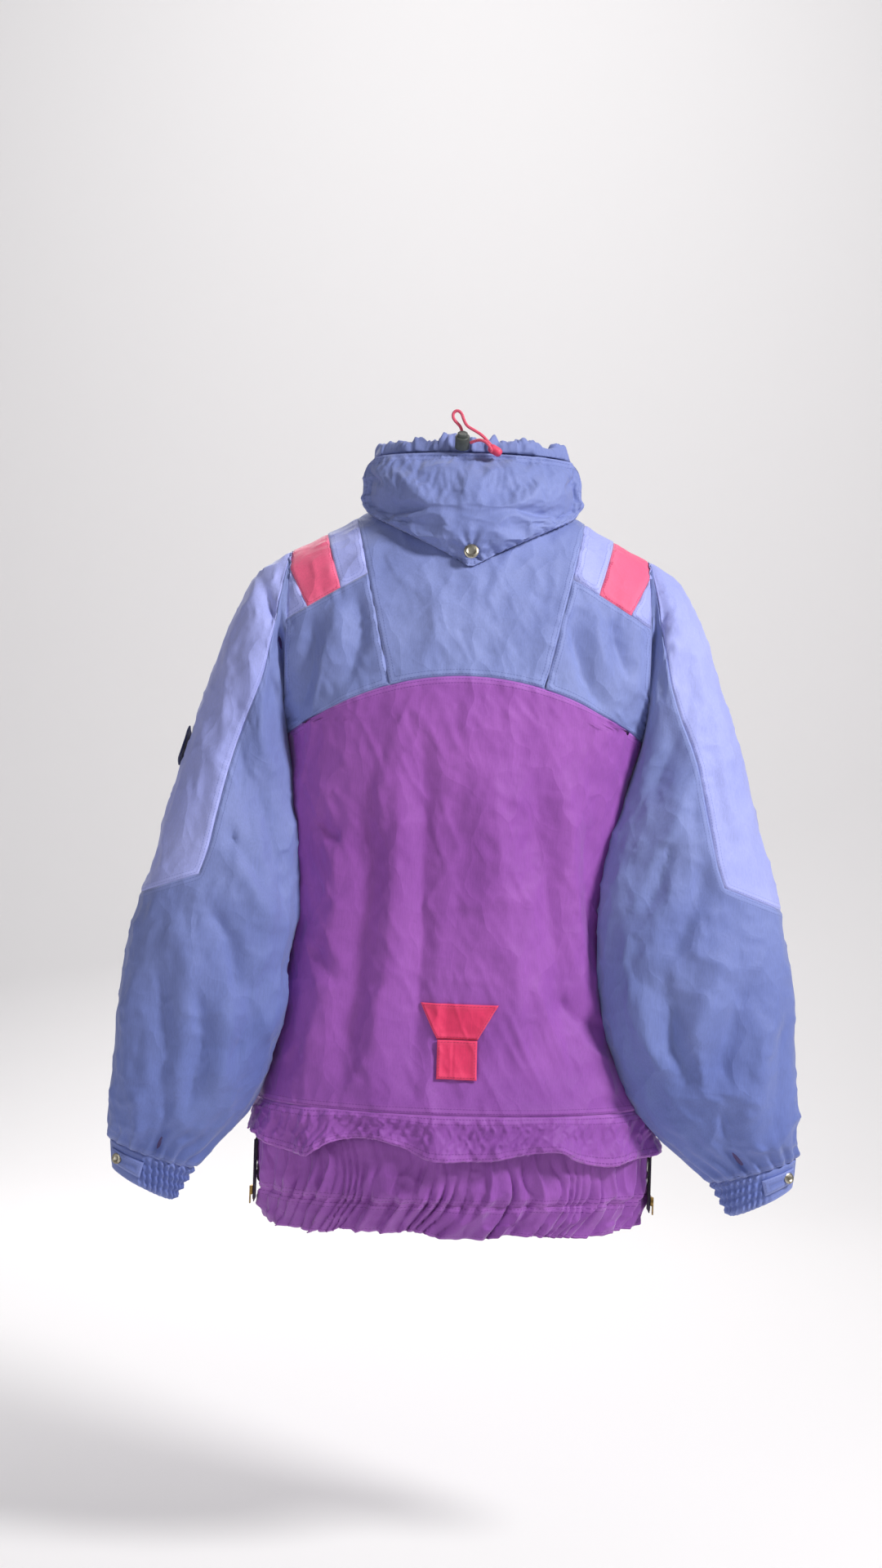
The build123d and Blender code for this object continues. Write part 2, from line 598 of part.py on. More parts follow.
# Strand that loops up over the lock and comes down to the cord end.
LOOP_ROUTE = [
    (12.5, 21.0, 67.6), (13.6, 20.5, 73.0), (18.0, 20.0, 77.5), (22.0, 20.0, 81.6), (22.6, 20.3, 87.2),
    (18.4, 20.9, 90.6), (13.6, 22.3, 87.4), (11.4, 24.6, 80.4), (8.0, 26.5, 73.5), (0.5, 27.5, 69.5),
    (-8.0, 28.0, 64.5), (-14.5, 27.8, 57.5), (-18.5, 27.3, 53.2),
]
# Strand that leaves the channel's eyelet, passes the lock and bows out to the cord end.
SHORT_ROUTE = [(3.6, 24.0, 57.0), (-3.6, 29.5, 59.8), (-11.2, 33.2, 57.6), (-16.6, 33.4, 52.0), (-18.4, 28.6, 47.4)]


def cord_tube(points):
    """Straight runs joined by tangent arcs as large as the runs allow."""
    vectors = [Vector(*p) for p in points]
    runs = [(b - a).length for a, b in zip(vectors, vectors[1:])]
    radii = []
    for a, b, c, before, after in zip(vectors, vectors[1:], vectors[2:], runs, runs[1:]):
        turn = math.radians((b - a).get_angle(c - b))
        radii.append(0.45 * min(before, after) / math.tan(turn / 2))
    print("cord radii", [round(r, 1) for r in radii], "length", round(sum(runs), 1))
    path = FilletPolyline(*points, radius=radii)
    tube = sweep(Plane(origin=path @ 0, z_dir=path % 0) * Circle(CORD_RADIUS), path=path)
    print("volume over section times length", round(tube.volume / (math.pi * CORD_RADIUS**2 * path.length), 4))
    return tube


def build_drawcord():
    lock = Plane(origin=LOCK_CENTRE, x_dir=(1, 0, 0), z_dir=LOCK_AXIS)
    barrel = lock * Cylinder(LOCK_RADIUS, LOCK_LENGTH)
    floor = 2.0
    bore_depth = LOCK_LENGTH - floor
    bore = lock * Pos(0, 0, floor / 2 + 0.001) * Cylinder(BUTTON_RADIUS + 0.15, bore_depth)
    cross = lock * Rot(0, 90, 0) * Cylinder(CORD_RADIUS + 0.3, 4 * LOCK_RADIUS)
    add("cord_lock_barrel", barrel - bore - cross)
    length = bore_depth - BUTTON_TRAVEL - 3.5 + 3.0
    top = LOCK_LENGTH / 2 + BUTTON_TRAVEL + 0.5
    button = lock * Pos(0, 0, top - length / 2) * Cylinder(BUTTON_RADIUS, length)
    add("cord_lock_button", button)
    spring_room = (top - length) - (-LOCK_LENGTH / 2 + floor)
    pressed = spring_room - BUTTON_TRAVEL - 0.2      # drawn at its pressed length, so the button's travel is clear
    ring = Cylinder(BUTTON_RADIUS - 0.8, pressed) - Cylinder(BUTTON_RADIUS - 2.2, 40)
    add("cord_lock_spring", lock * Pos(0, 0, -LOCK_LENGTH / 2 + floor + pressed / 2) * ring)
    end = Pos(*CORD_END) * Rot(0, 60, 0) * round_ended_rod(CORD_END_RADIUS, 7.0)
    loop = cord_tube(LOOP_ROUTE)
    short = cord_tube(SHORT_ROUTE)
    add("cord_loop", loop - NODES["cord_lock_barrel"] - button)
    add("cord_short", short - NODES["cord_lock_barrel"] - button)
    add("cord_end", end - loop - short)


def round_ended_rod(radius, straight):
    """A short rod with round ends."""
    rod = Cylinder(radius, straight)
    return rod + Pos(0, 0, straight / 2) * Sphere(radius) + Pos(0, 0, -straight / 2) * Sphere(radius)


# ---- build and write ---------------------------------------------------------------------------------
build_torso()
build_tail_patch()
build_skirt()
build_collar()
build_hood_pouch()
build_hood_flap()
build_hanging_loop()
build_sleeves()
build_main_zip()
build_slider()
build_pockets()
build_drawcord()

os.makedirs("parts", exist_ok=True)
for node, solid in NODES.items():
    export_step(solid, f"parts/{node}.step")
print(len(NODES), "nodes")
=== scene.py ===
# %% [markdown]
# # A padded ski jacket, hanging by its neck loop
# The CAD frame brings the real sizes and the parts that move. This lesson gives the jacket its cloth: thin
# padded nylon that hangs in soft folds from seam to seam. A cloth panel could be sculpted, or simulated
# whole. Here each panel is a grid laid on the jacket's form between its seam lines, because a seam then runs
# along the grid's edge, where stitching and puckers belong, and a grid is easy to fold with a few lines of
# arithmetic.

import math

import bmesh
import bpy
import numpy as np
from mathutils import Matrix, Vector


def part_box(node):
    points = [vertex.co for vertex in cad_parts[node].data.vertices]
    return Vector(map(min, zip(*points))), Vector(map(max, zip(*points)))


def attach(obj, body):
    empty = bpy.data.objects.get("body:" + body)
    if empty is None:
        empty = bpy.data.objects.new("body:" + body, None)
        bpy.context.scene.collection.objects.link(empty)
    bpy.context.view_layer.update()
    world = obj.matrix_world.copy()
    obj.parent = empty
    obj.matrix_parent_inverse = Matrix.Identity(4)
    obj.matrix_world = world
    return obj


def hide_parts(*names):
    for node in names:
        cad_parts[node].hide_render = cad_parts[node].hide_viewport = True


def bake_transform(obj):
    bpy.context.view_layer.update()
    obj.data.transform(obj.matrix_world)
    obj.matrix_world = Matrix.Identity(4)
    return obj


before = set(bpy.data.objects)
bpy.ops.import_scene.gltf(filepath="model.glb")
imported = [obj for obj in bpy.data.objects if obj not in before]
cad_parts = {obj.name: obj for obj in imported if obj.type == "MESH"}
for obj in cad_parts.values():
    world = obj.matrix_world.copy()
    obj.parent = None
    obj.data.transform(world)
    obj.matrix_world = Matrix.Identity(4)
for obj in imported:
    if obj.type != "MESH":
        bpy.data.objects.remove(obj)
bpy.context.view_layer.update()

MM = 0.001


# %% [markdown]
# ## Cloth arithmetic
# Real cloth never repeats, but it isn't random either: creases run in a direction and fade out. A lattice
# of seeded random values, smoothly joined, gives the uneven part. It could come from a Displace modifier
# with a texture, but arithmetic on the grid lets each crease follow the cloth's own directions and stay off
# the seams.

# %% Smooth random values
LATTICE = np.random.default_rng(7).random((64, 64, 64)).astype(np.float32)


def smooth_random(x, y, z):
    """Values from -1 to 1 that change smoothly over a distance of about 1."""
    p = np.stack(np.broadcast_arrays(x, y, z), -1)
    cell = np.floor(p).astype(int)
    f = p - cell
    f = f * f * f * (f * (f * 6 - 15) + 10)
    cell %= 64
    nxt = (cell + 1) % 64
    total = 0
    for i in (0, 1):
        for j in (0, 1):
            for k in (0, 1):
                at = [(nxt if bit else cell)[..., n] for n, bit in enumerate((i, j, k))]
                w = [f[..., n] if bit else 1 - f[..., n] for n, bit in enumerate((i, j, k))]
                total = total + LATTICE[at[0], at[1], at[2]] * w[0] * w[1] * w[2]
    return total * 2 - 1


def crease_random(x, y, z):
    """From 0 to 1, with sharp ridges and wide soft valleys, as crumpled cloth has."""
    a = 1 - np.abs(smooth_random(x, y, z)) * 1.9
    b = 1 - np.abs(smooth_random(x * 2.1 + 9.3, y * 2.1 + 4.1, z * 2.1)) * 1.9
    return np.clip(0.72 * a + 0.28 * b, 0, 1) ** 2


def smoothstep(low, high, value):
    t = np.clip((value - low) / (high - low), 0, 1)
    return t * t * (3 - 2 * t)


def smooth_table(knots, values):
    """A smooth curve through a table that never overshoots it."""
    x, y = np.array(knots, float), np.array(values, float)
    if x[0] > x[-1]:
        x, y = x[::-1], y[::-1]
    slope = np.diff(y) / np.diff(x)
    tangent = np.concatenate([[slope[0]], (slope[:-1] + slope[1:]) / 2, [slope[-1]]])
    flat = slope[:-1] * slope[1:] <= 0
    tangent[1:-1][flat] = 0
    limit = 3 * np.minimum(np.abs(np.append(slope, slope[-1])), np.abs(np.insert(slope, 0, slope[0])))
    tangent = np.sign(tangent) * np.minimum(np.abs(tangent), limit)

    def at(value):
        v = np.clip(value, x[0], x[-1])
        i = np.clip(np.searchsorted(x, v) - 1, 0, len(x) - 2)
        h = x[i + 1] - x[i]
        t = (v - x[i]) / h
        return ((1 + 2 * t) * (1 - t) ** 2 * y[i] + t * (1 - t) ** 2 * h * tangent[i]
                + t * t * (3 - 2 * t) * y[i + 1] + t * t * (t - 1) * h * tangent[i + 1])

    return at


# %% [markdown]
# ## From a grid to a piece of cloth
# A panel has an outside, an inside a millimetre or two below it, and a rim. Blender's Solidify makes the
# same thing, but the grid already knows its normals, so the inside is laid down with the outside in one
# mesh.

# %% Cloth from a grid
def grid_normals(points, around=False):
    """Outward is decided by the caller's row and column order: rows x columns."""
    if around:
        wide = np.concatenate([points[:, -1:], points, points[:, :1]], 1)
        across = (wide[:, 2:] - wide[:, :-2])
    else:
        across = np.gradient(points, axis=1)
    along = np.gradient(points, axis=0)
    normal = np.cross(along, across)
    size = np.linalg.norm(normal, axis=2, keepdims=True)
    return normal / np.maximum(size, 1e-9)


def cloth_piece(name, grids, thick=1.6, flip=False):
    """One mesh from one or more grids (points in mm, attributes per point), each with an inside and a rim."""
    verts, faces, values = [], [], {}
    start = 0
    for g, grid in enumerate(grids):
        points, around, keep = grid["points"], grid.get("around", False), grid.get("keep")
        normal = grid_normals(points, around) * (-1 if flip else 1)
        rows, cols = points.shape[:2]
        inner = points - normal * (grid.get("thick", thick) if np.isscalar(grid.get("thick", thick))
                                   else grid["thick"][..., None])
        index = np.arange(rows * cols).reshape(rows, cols)
        if around:
            index = np.concatenate([index, index[:, :1]], 1)
        quads = np.stack([index[:-1, :-1], index[1:, :-1], index[1:, 1:], index[:-1, 1:]], -1)
        mask = np.ones(quads.shape[:2], bool) if keep is None else keep
        outer = quads[mask].reshape(-1, 4)
        edges = np.concatenate([outer[:, [i, (i + 1) % 4]] for i in range(4)])
        key = np.sort(edges, 1)
        _, first, count = np.unique(key[:, 0].astype(np.int64) * (rows * cols) + key[:, 1],
                                    return_index=True, return_counts=True)
        rim = edges[first[count == 1]]
        n = rows * cols
        walls = np.stack([rim[:, 1], rim[:, 0], rim[:, 0] + n, rim[:, 1] + n], 1)
        all_faces = np.concatenate([outer, outer[:, ::-1] + n, walls]) + start
        if flip:
            all_faces = all_faces[:, ::-1]
        verts.append(np.concatenate([points.reshape(-1, 3), inner.reshape(-1, 3)]))
        faces.append(all_faces)
        for key_name, value in grid.get("attributes", {}).items():
            flat = np.broadcast_to(value, (rows, cols)).reshape(-1)
            values.setdefault(key_name, []).append(np.concatenate([flat, flat]))
        start += 2 * n
    verts, faces = np.concatenate(verts) * MM, np.concatenate(faces)
    used = np.unique(faces)
    order = np.full(len(verts), -1)
    order[used] = np.arange(len(used))
    name = name + "_cloth"
    mesh = bpy.data.meshes.new(name)
    mesh.vertices.add(len(used))
    mesh.vertices.foreach_set("co", verts[used].astype(np.float32).ravel())
    mesh.loops.add(faces.size)
    mesh.loops.foreach_set("vertex_index", order[faces].ravel().astype(np.int32))
    mesh.polygons.add(len(faces))
    mesh.polygons.foreach_set("loop_start", np.arange(0, faces.size, 4, dtype=np.int32))
    mesh.update(calc_edges=True)
    mesh.validate()
    mesh.polygons.foreach_set("use_smooth", np.ones(len(mesh.polygons), bool))
    for key_name, parts in values.items():
        attribute = mesh.attributes.new(key_name, "FLOAT", "POINT")
        attribute.data.foreach_set("value", np.concatenate(parts)[used].astype(np.float32))
    piece = bpy.data.objects.new(name, mesh)
    bpy.context.scene.collection.objects.link(piece)
    return piece


def arc_length(points, axis):
    """Distance along a grid's rows or columns, in mm."""
    step = np.linalg.norm(np.diff(points, axis=axis), axis=2)
    pad = [(0, 0), (0, 0)]
    pad[axis] = (1, 0)
    return np.pad(np.cumsum(step, axis=axis), pad)


# %% [markdown]
# ## The jacket's form
# The body is a stack of ellipses, from the neck to the hem. An angle and a height give a place on it: 0
# degrees is the centre back and 90 degrees the left side. Seams are then lines in angle and height.

# %% The body's form
NECK_Z, HEM_Z = -8.0, -655.0
ARMHOLE_X = 186.0
BODY_STATIONS = [(-8, 107, 62), (-30, 143, 70), (-60, 194, 80), (-100, 216, 90), (-150, 222, 98),
                 (-200, 208, 101),
                 (-242, 180, 103), (-300, 166, 104), (-400, 158, 105), (-480, 158, 107), (-560, 174, 111),
                 (-610, 194, 116), (-655, 212, 119)]
half_width = smooth_table([s[0] for s in BODY_STATIONS], [s[1] for s in BODY_STATIONS])
half_depth = smooth_table([s[0] for s in BODY_STATIONS], [s[2] for s in BODY_STATIONS])


def front_y(z):
    return -112 + 0.034 * (z + 8)


# it hangs a little fuller on its left side
left_fullness = smooth_table([-8, -200, -262, -300, -410, -490, -565, -610, -655],
                             [0, 0, 11, 19, 26, 31, 19, 8, 3])
right_fullness = smooth_table([-8, -200, -262, -300, -410, -490, -565, -610, -655],
                              [0, 0, 9, 9, 5, 4, 3, 2, 0])


def side_share(angle):
    """1 on the left side seam, fading over the back and more quickly over the front."""
    return smoothstep(np.where(np.cos(angle) > 0, 0.3, 0.86), 1.0, np.sin(angle))


def body_point(angle, z, out=0.0):
    a, b = half_width(z) + out, half_depth(z) + out
    x = a * np.sin(angle)
    x = x + left_fullness(z) * side_share(angle) - right_fullness(z) * side_share(-angle)
    return np.stack(np.broadcast_arrays(x, front_y(z) + b - out + b * np.cos(angle), z), -1)


def side_limit(z):
    """How far out the body reaches at a height: the armhole plane, or its own side below the armpit."""
    return np.where(z < -242, half_width(z), np.minimum(ARMHOLE_X, half_width(z)))


def yoke_seam(x):
    radius = (ARMHOLE_X**2 + 68**2) / (2 * 68)
    return -184 - radius + np.sqrt(radius**2 - np.minimum(np.abs(x), ARMHOLE_X) ** 2)


def slant_seam(z):
    return 121 + (z - NECK_Z) * 41 / 176


def saddle_seam(x):
    return -77 - (np.abs(x) - 98) * 51 / 88


def body_panel(left, right, low, high, cols, rows, back=True):
    """Angles and heights of a panel between two side lines x(z) and two cross lines z(x)."""
    def angle_of(x, z):
        inside = np.arcsin(np.clip(x / half_width(z), -1, 1))
        return inside if back else np.pi * np.sign(np.where(x == 0, 1, x)) - inside

    u = np.linspace(0, 1, cols)
    v = np.linspace(0, 1, rows)

    def ends(line):
        z = np.full(cols, float(np.mean(line(np.zeros(1)))))
        for _ in range(60):
            t = (1 - u) * angle_of(left(z), z) + u * angle_of(right(z), z)
            z = 0.5 * z + 0.5 * line(half_width(z) * np.sin(t))
        return z

    z_low, z_high = ends(low), ends(high)
    z = z_low[None] + (z_high - z_low)[None] * v[:, None]
    angle = (1 - u) * angle_of(left(z), z) + u * angle_of(right(z), z)
    return angle, z


# %% [markdown]
# ## Folds
# A hanging jacket folds where it is pulled: from the neck and shoulders down the back, across the armhole,
# and at each gathered edge. Each fold here is a line on the back, with a height and a width that fade at
# both ends. Fine creases are added over all, and less of everything near a seam, because the layers there
# are stiff.

# %% Folds of the body
# Each fold: points (x, z) on the back as worn, height in mm (below zero is a valley), width in mm.
BACK_FOLDS = [
    ([(2, -300), (4, -420), (12, -520), (6, -640)], -3.2, 20),
    ([(-28, -215), (-33, -330), (-52, -470), (-72, -600)], 5.0, 20),
    ([(46, -215), (40, -330), (40, -470), (50, -620)], -6.5, 15),
    ([(70, -230), (62, -350), (72, -480), (90, -640)], 6.5, 20),
    ([(104, -260), (92, -380), (104, -500), (122, -650)], -6.0, 17),
    ([(128, -300), (124, -420), (140, -540), (160, -650)], 6.0, 20),
    ([(-62, -225), (-78, -330), (-98, -450), (-118, -600)], -6.5, 17),
    ([(-98, -250), (-110, -360), (-124, -480), (-140, -600)], 6.5, 20),
    ([(-128, -300), (-132, -420), (-136, -500)], -5.0, 14),
    ([(-70, -480), (-96, -540), (-118, -590)], 3.5, 8),
    ([(-40, -500), (-68, -560), (-94, -608)], 2.2, 3.5),
    ([(-102, -500), (-122, -525), (-150, -535)], -7.0, 11),
    ([(-128, -545), (-146, -580), (-160, -615)], 7.0, 13),
    ([(150, -330), (136, -345), (118, -348)], -5.0, 8),
    ([(150, -455), (138, -470), (120, -500)], -5.0, 10),
    # side yokes: folds running from the shoulder seam down to the armhole
    ([(118, -95), (108, -140), (128, -205)], -5.5, 11),
    ([(136, -105), (130, -150), (146, -190)], 5.0, 12),
    ([(158, -120), (160, -165), (172, -230)], -6.0, 9),
    ([(-112, -90), (-104, -128), (-118, -180), (-150, -240)], -7.0, 9),
    ([(-128, -100), (-128, -140), (-140, -190)], 5.5, 10),
    ([(-150, -112), (-150, -140), (-166, -185)], -6.0, 8),
    ([(-100, -104), (-118, -112), (-132, -108)], 3.0, 6),
    ([(92, -120), (98, -140), (92, -165)], 2.4, 6),
    ([(-60, -95), (-80, -110), (-98, -112)], -2.6, 6),
    ([(20, -90), (38, -120), (30, -170)], 2.6, 14),
    ([(-14, -100), (-22, -140), (-6, -178)], -2.6, 12),
]


def fold_height(x, z, folds):
    """Sum of line folds at places (x, z)."""
    total = np.zeros(np.broadcast(x, z).shape)
    for line, height, width in folds:
        best = np.full(total.shape, 1e9)
        place = np.zeros(total.shape)
        lengths = [math.dist(p, q) for p, q in zip(line, line[1:])]
        passed = 0.0
        for (p, q), length in zip(zip(line, line[1:]), lengths):
            dx, dz = (q[0] - p[0]) / length, (q[1] - p[1]) / length
            along = np.clip((x - p[0]) * dx + (z - p[1]) * dz, 0, length)
            gap = np.hypot(x - p[0] - along * dx, z - p[1] - along * dz)
            nearer = gap < best
            best = np.where(nearer, gap, best)
            place = np.where(nearer, (passed + along) / sum(lengths), place)
            passed += length
        fade = smoothstep(0, 0.28, place) * smoothstep(0, 0.28, 1 - place)
        total += height * fade * (0.75 * np.exp(-((best / width) ** 2)) + 0.35 * np.exp(-1.7 * best / width))
    return total


def crumple(x, y, z, size, stretch=(1, 1, 1)):
    """Small creases of a given size in mm, longer along a stretched axis."""
    bend = 0.35 * smooth_random(x / 90, y / 90, z / 90)
    return crease_random(x / size / stretch[0] + bend, y / size / stretch[1],
                         z / size / stretch[2] + bend) - 0.35


def seam_dip(distance):
    """Cloth dives into a seam and stands a little proud beside it, where its layers lie double."""
    return -0.8 * np.exp(-((distance / 1.3) ** 2)) + 0.5 * np.exp(-(((distance - 5) / 4.5) ** 2))


def puckers(distance, along, seed, height=1.5, pitch=13.0):
    """Short creases that run away from a seam."""
    wave = smooth_random(along / pitch * 2, seed * 7.7, distance / 60)
    return height * wave * np.exp(-((distance / 13) ** 2)) * smoothstep(0, 3, distance)


def body_folds(angle, z, base, soft):
    """Height of the body's folds and creases; soft is 0 at a seam and 1 away from it."""
    x, y = base[..., 0], base[..., 1]
    facing = smoothstep(-0.15, 0.35, np.cos(angle))
    height = 1.05 * fold_height(x, z, BACK_FOLDS) * facing * (0.35 + 0.65 * soft)
    front_fold = 3.0 * np.sin(np.abs(x) / 17 + z / 160 + np.sign(x)) * smoothstep(-150, -330, z)
    height += front_fold * (1 - facing) * smoothstep(8, 60, np.abs(x)) * soft
    height += 2.2 * smooth_random(x / 46, y / 60, z / 110 + 3) * soft
    height += 2.6 * crumple(x + 0.35 * z, y, z, 60, (0.8, 1.0, 2.0)) * soft
    height += 1.7 * crumple(x + 40 - 0.5 * z, y, z - 70, 24, (0.8, 1.0, 1.6)) * soft
    return height + 0.35 * smooth_random(x / 7, y / 7, z / 9) * soft


def body_cloth(angle, z, extra=None, seams=(1, 1, 1, 1), wave=1.0, hem=None):
    """Finished points of a body panel, with its stitch attributes. Seams: low, high, left, right."""
    base = body_point(angle, z)
    normal = body_point(angle, z, 1.0) - base
    normal /= np.linalg.norm(normal, axis=2, keepdims=True)
    across, up = arc_length(base, 1), arc_length(base, 0)
    distances = [up, up[-1:] - up, across, across[:, -1:] - across]
    near = np.minimum.reduce([d if s else np.full_like(d, 900.0) for d, s in zip(distances, seams)])
    beside = np.where(np.minimum(distances[0] + 900 * (not seams[0]), distances[1] + 900 * (not seams[1]))
                      <= np.minimum(distances[2] + 900 * (not seams[2]), distances[3] + 900 * (not seams[3])),
                      across, up)
    soft = smoothstep(1, 26, near)
    height = wave * body_folds(angle, z, base, soft)
    height += puckers(distances[0], across, 1.0) * seams[0] + puckers(distances[1], across, 2.0) * seams[1]
    height += puckers(distances[2], up, 3.0) * seams[2] + puckers(distances[3], up, 4.0) * seams[3]
    height += seam_dip(near)
    if extra is not None:
        height += extra
    points = base + normal * height[..., None]
    if hem is not None:
        points[..., 2] += hem
    return {"points": points,
            "attributes": {"edge_mm": near, "along_mm": beside, "grain_u": across, "grain_v": up}}


# %% [markdown]
# ## Materials
# The shell is a tightly woven nylon and cotton cloth: matt, with a faint silky bloom where light grazes it,
# and topstitched beside its seams. A picture could be painted on, but nodes keep the same weave on every
# panel, and the stitches follow each panel's own edges through two numbers stored on its points.

# %% A colour and a node
def linear(hex_colour):
    """An sRGB hex value as Blender's linear colour."""
    parts = [int(hex_colour[i:i + 2], 16) / 255 for i in (0, 2, 4)]
    return [c / 12.92 if c <= 0.04045 else ((c + 0.055) / 1.055) ** 2.4 for c in parts] + [1.0]


def add_node(material, kind, settings=(), links=()):
    """Adds a node; settings are socket or property values, links are (socket, other node, its output)."""
    node = material.node_tree.nodes.new(kind)
    for key, value in dict(settings).items():
        if isinstance(key, str) and hasattr(node, key):
            setattr(node, key, value)
        else:
            node.inputs[key].default_value = value
    for key, source, output in links:
        material.node_tree.links.new(source.outputs[output], node.inputs[key])
    return node


def new_material(name, roughness, sheen=0.0, metallic=0.0):
    material = bpy.data.materials.new(name)
    material.use_nodes = True
    shader = material.node_tree.nodes["Principled BSDF"]
    shader.inputs["Roughness"].default_value = roughness
    shader.inputs["Metallic"].default_value = metallic
    shader.inputs["Sheen Weight"].default_value = sheen
    return material, shader


# %% Woven shell cloth
THREAD_MM = 0.9             # real threads are 0.25 mm apart; drawn coarser so that the weave shows


def ramp(material, source, output, stops):
    node = add_node(material, "ShaderNodeValToRGB", links=[("Fac", source, output)])
    elements = node.color_ramp.elements
    while len(elements) < len(stops):
        elements.new(0.5)
    for element, (place, colour) in zip(elements, stops):
        element.position, element.color = place, colour
    return node


def woven_cloth(name, light, dark, thread, stitched=True, roughness=0.62, sheen=0.25, rows=(2.6, 6.6),
                shade_below=0.0):
    """Plain weave, uneven dye, paler worn ridges beside the seams, painted shade lower down, and topstitching at
    3 and 7 mm.
    """
    material, shader = new_material(name, roughness, sheen)
    shader.inputs["Sheen Roughness"].default_value = 0.4
    shader.inputs["IOR"].default_value = 1.46
    place = add_node(material, "ShaderNodeTexCoord")
    dye = add_node(material, "ShaderNodeTexNoise", {"Scale": 9.0, "Detail": 5.0},
                   [("Vector", place, "Object")])
    mottle = ramp(material, dye, "Fac", [(0.3, linear(dark)), (0.72, linear(light))])
    slub = add_node(material, "ShaderNodeMapping", {"Scale": (900, 900, 90)}, [("Vector", place, "Object")])
    streak = add_node(material, "ShaderNodeTexNoise", {"Scale": 1.0, "Detail": 2.0},
                      [("Vector", slub, "Vector")])
    shade = add_node(material, "ShaderNodeMapRange",
                     {"From Min": 0.3, "From Max": 0.7, "To Min": 0.93, "To Max": 1.05},
                     [("Value", streak, "Fac")])
    cloth = add_node(material, "ShaderNodeVectorMath", {"operation": "SCALE"},
                     [(0, mottle, "Color"), ("Scale", shade, "Result")])
    # painted shade: lower down, the cloth is darkened and turned bluer, standing in for the dimmer light there
    level_z = add_node(material, "ShaderNodeSeparateXYZ", links=[("Vector", place, "Object")])
    painted_shade_depth = add_node(material, "ShaderNodeMapRange", {"From Min": -0.34, "From Max": -0.68, "To Min": 0.0,
                                                     "To Max": shade_below}, [("Value", level_z, "Z")])
    cloth_mix = add_node(material, "ShaderNodeMix", {"data_type": "RGBA", "blend_type": "MULTIPLY"},
                         [("Factor", painted_shade_depth, "Result"), (6, cloth, "Vector")])
    cloth_mix.inputs[7].default_value = (0.52, 0.62, 0.84, 1)
    colour, colour_out = cloth_mix, 2
    u = add_node(material, "ShaderNodeAttribute", {"attribute_name": "grain_u"})
    v = add_node(material, "ShaderNodeAttribute", {"attribute_name": "grain_v"})
    waves = []
    for source in (u, v):
        turn = add_node(material, "ShaderNodeMath", {"operation": "MULTIPLY", 1: 2 * math.pi / THREAD_MM},
                        [(0, source, "Fac")])
        waves.append(add_node(material, "ShaderNodeMath", {"operation": "SINE"}, [(0, turn, "Value")]))
    weave = add_node(material, "ShaderNodeMath", {"operation": "MULTIPLY"},
                     [(0, waves[0], "Value"), (1, waves[1], "Value")])
    grain = add_node(material, "ShaderNodeTexNoise", {"Scale": 420.0, "Detail": 3.0},
                     [("Vector", place, "Object")])
    height = add_node(material, "ShaderNodeMath", {"operation": "MULTIPLY_ADD", 1: 0.35},
                      [(0, weave, "Value"), (2, grain, "Fac")])
    bump = add_node(material, "ShaderNodeBump", {"Strength": 0.35, "Distance": 0.0004},
                    [("Height", height, "Value")])
    crinkle = add_node(material, "ShaderNodeTexNoise", {"Scale": 70.0, "Detail": 4.0, "Distortion": 0.6},
                       [("Vector", place, "Object")])
    bump = add_node(material, "ShaderNodeBump", {"Strength": 0.3, "Distance": 0.0016},
                    [("Height", crinkle, "Fac"), ("Normal", bump, "Normal")])
    ridges = add_node(material, "ShaderNodeMapping", {"Scale": (26, 26, 13), "Rotation": (0, 0.5, 0)},
                      [("Vector", place, "Object")])
    wrinkle = add_node(material, "ShaderNodeTexNoise", {"noise_type": "RIDGED_MULTIFRACTAL", "Scale": 1.0,
                                                        "Detail": 3.0, "Distortion": 0.3},
                       [("Vector", ridges, "Vector")])
    bump = add_node(material, "ShaderNodeBump", {"Strength": 0.6, "Distance": 0.004},
                    [("Height", wrinkle, "Fac"), ("Normal", bump, "Normal")])
    # thin cloth breaks into flat facets between sharp creases, about 45 mm across
    sway = add_node(material, "ShaderNodeTexNoise", {"Scale": 14.0, "Detail": 2.0},
                    [("Vector", place, "Object")])
    shift = add_node(material, "ShaderNodeVectorMath", {"operation": "MULTIPLY_ADD", 1: (0.07, 0.07, 0.07)},
                     [(0, sway, "Color"), (2, place, "Object")])
    slanted = add_node(material, "ShaderNodeMapping", {"Scale": (1.2, 1.2, 0.62), "Rotation": (0, -0.45, 0)},
                       [("Vector", shift, "Vector")])
    facets = add_node(material, "ShaderNodeTexVoronoi", {"Scale": 26.0}, [("Vector", slanted, "Vector")])
    bump = add_node(material, "ShaderNodeBump", {"Strength": 0.75, "Distance": 0.005},
                    [("Height", facets, "Distance"), ("Normal", bump, "Normal")])
    if stitched:
        edge = add_node(material, "ShaderNodeAttribute", {"attribute_name": "edge_mm"})
        along = add_node(material, "ShaderNodeAttribute", {"attribute_name": "along_mm"})
        wear = add_node(material, "ShaderNodeMapRange",
                        {"From Min": 0.0, "From Max": 9.0, "To Min": 1.0, "To Max": 0.0},
                        [("Value", edge, "Fac")])
        patchy = add_node(material, "ShaderNodeMath", {"operation": "MULTIPLY"},
                          [(0, wear, "Result"), (1, dye, "Fac")])
        faded = add_node(material, "ShaderNodeMix", {"data_type": "RGBA"},
                         [("Factor", patchy, "Value"), (6, cloth_mix, 2)])
        faded.inputs[7].default_value = [min(1, 1.12 * c + 0.03) for c in linear(light)[:3]] + [1]
        colour, colour_out = faded, 2
        step = add_node(material, "ShaderNodeMath", {"operation": "PINGPONG", 1: 1.6}, [(0, along, "Fac")])
        dash = add_node(material, "ShaderNodeMapRange", {"From Min": 0.3, "From Max": 0.6},
                        [("Value", step, "Value")])
        lines = []
        for offset in rows:
            off = add_node(material, "ShaderNodeMath", {"operation": "SUBTRACT", 1: offset},
                           [(0, edge, "Fac")])
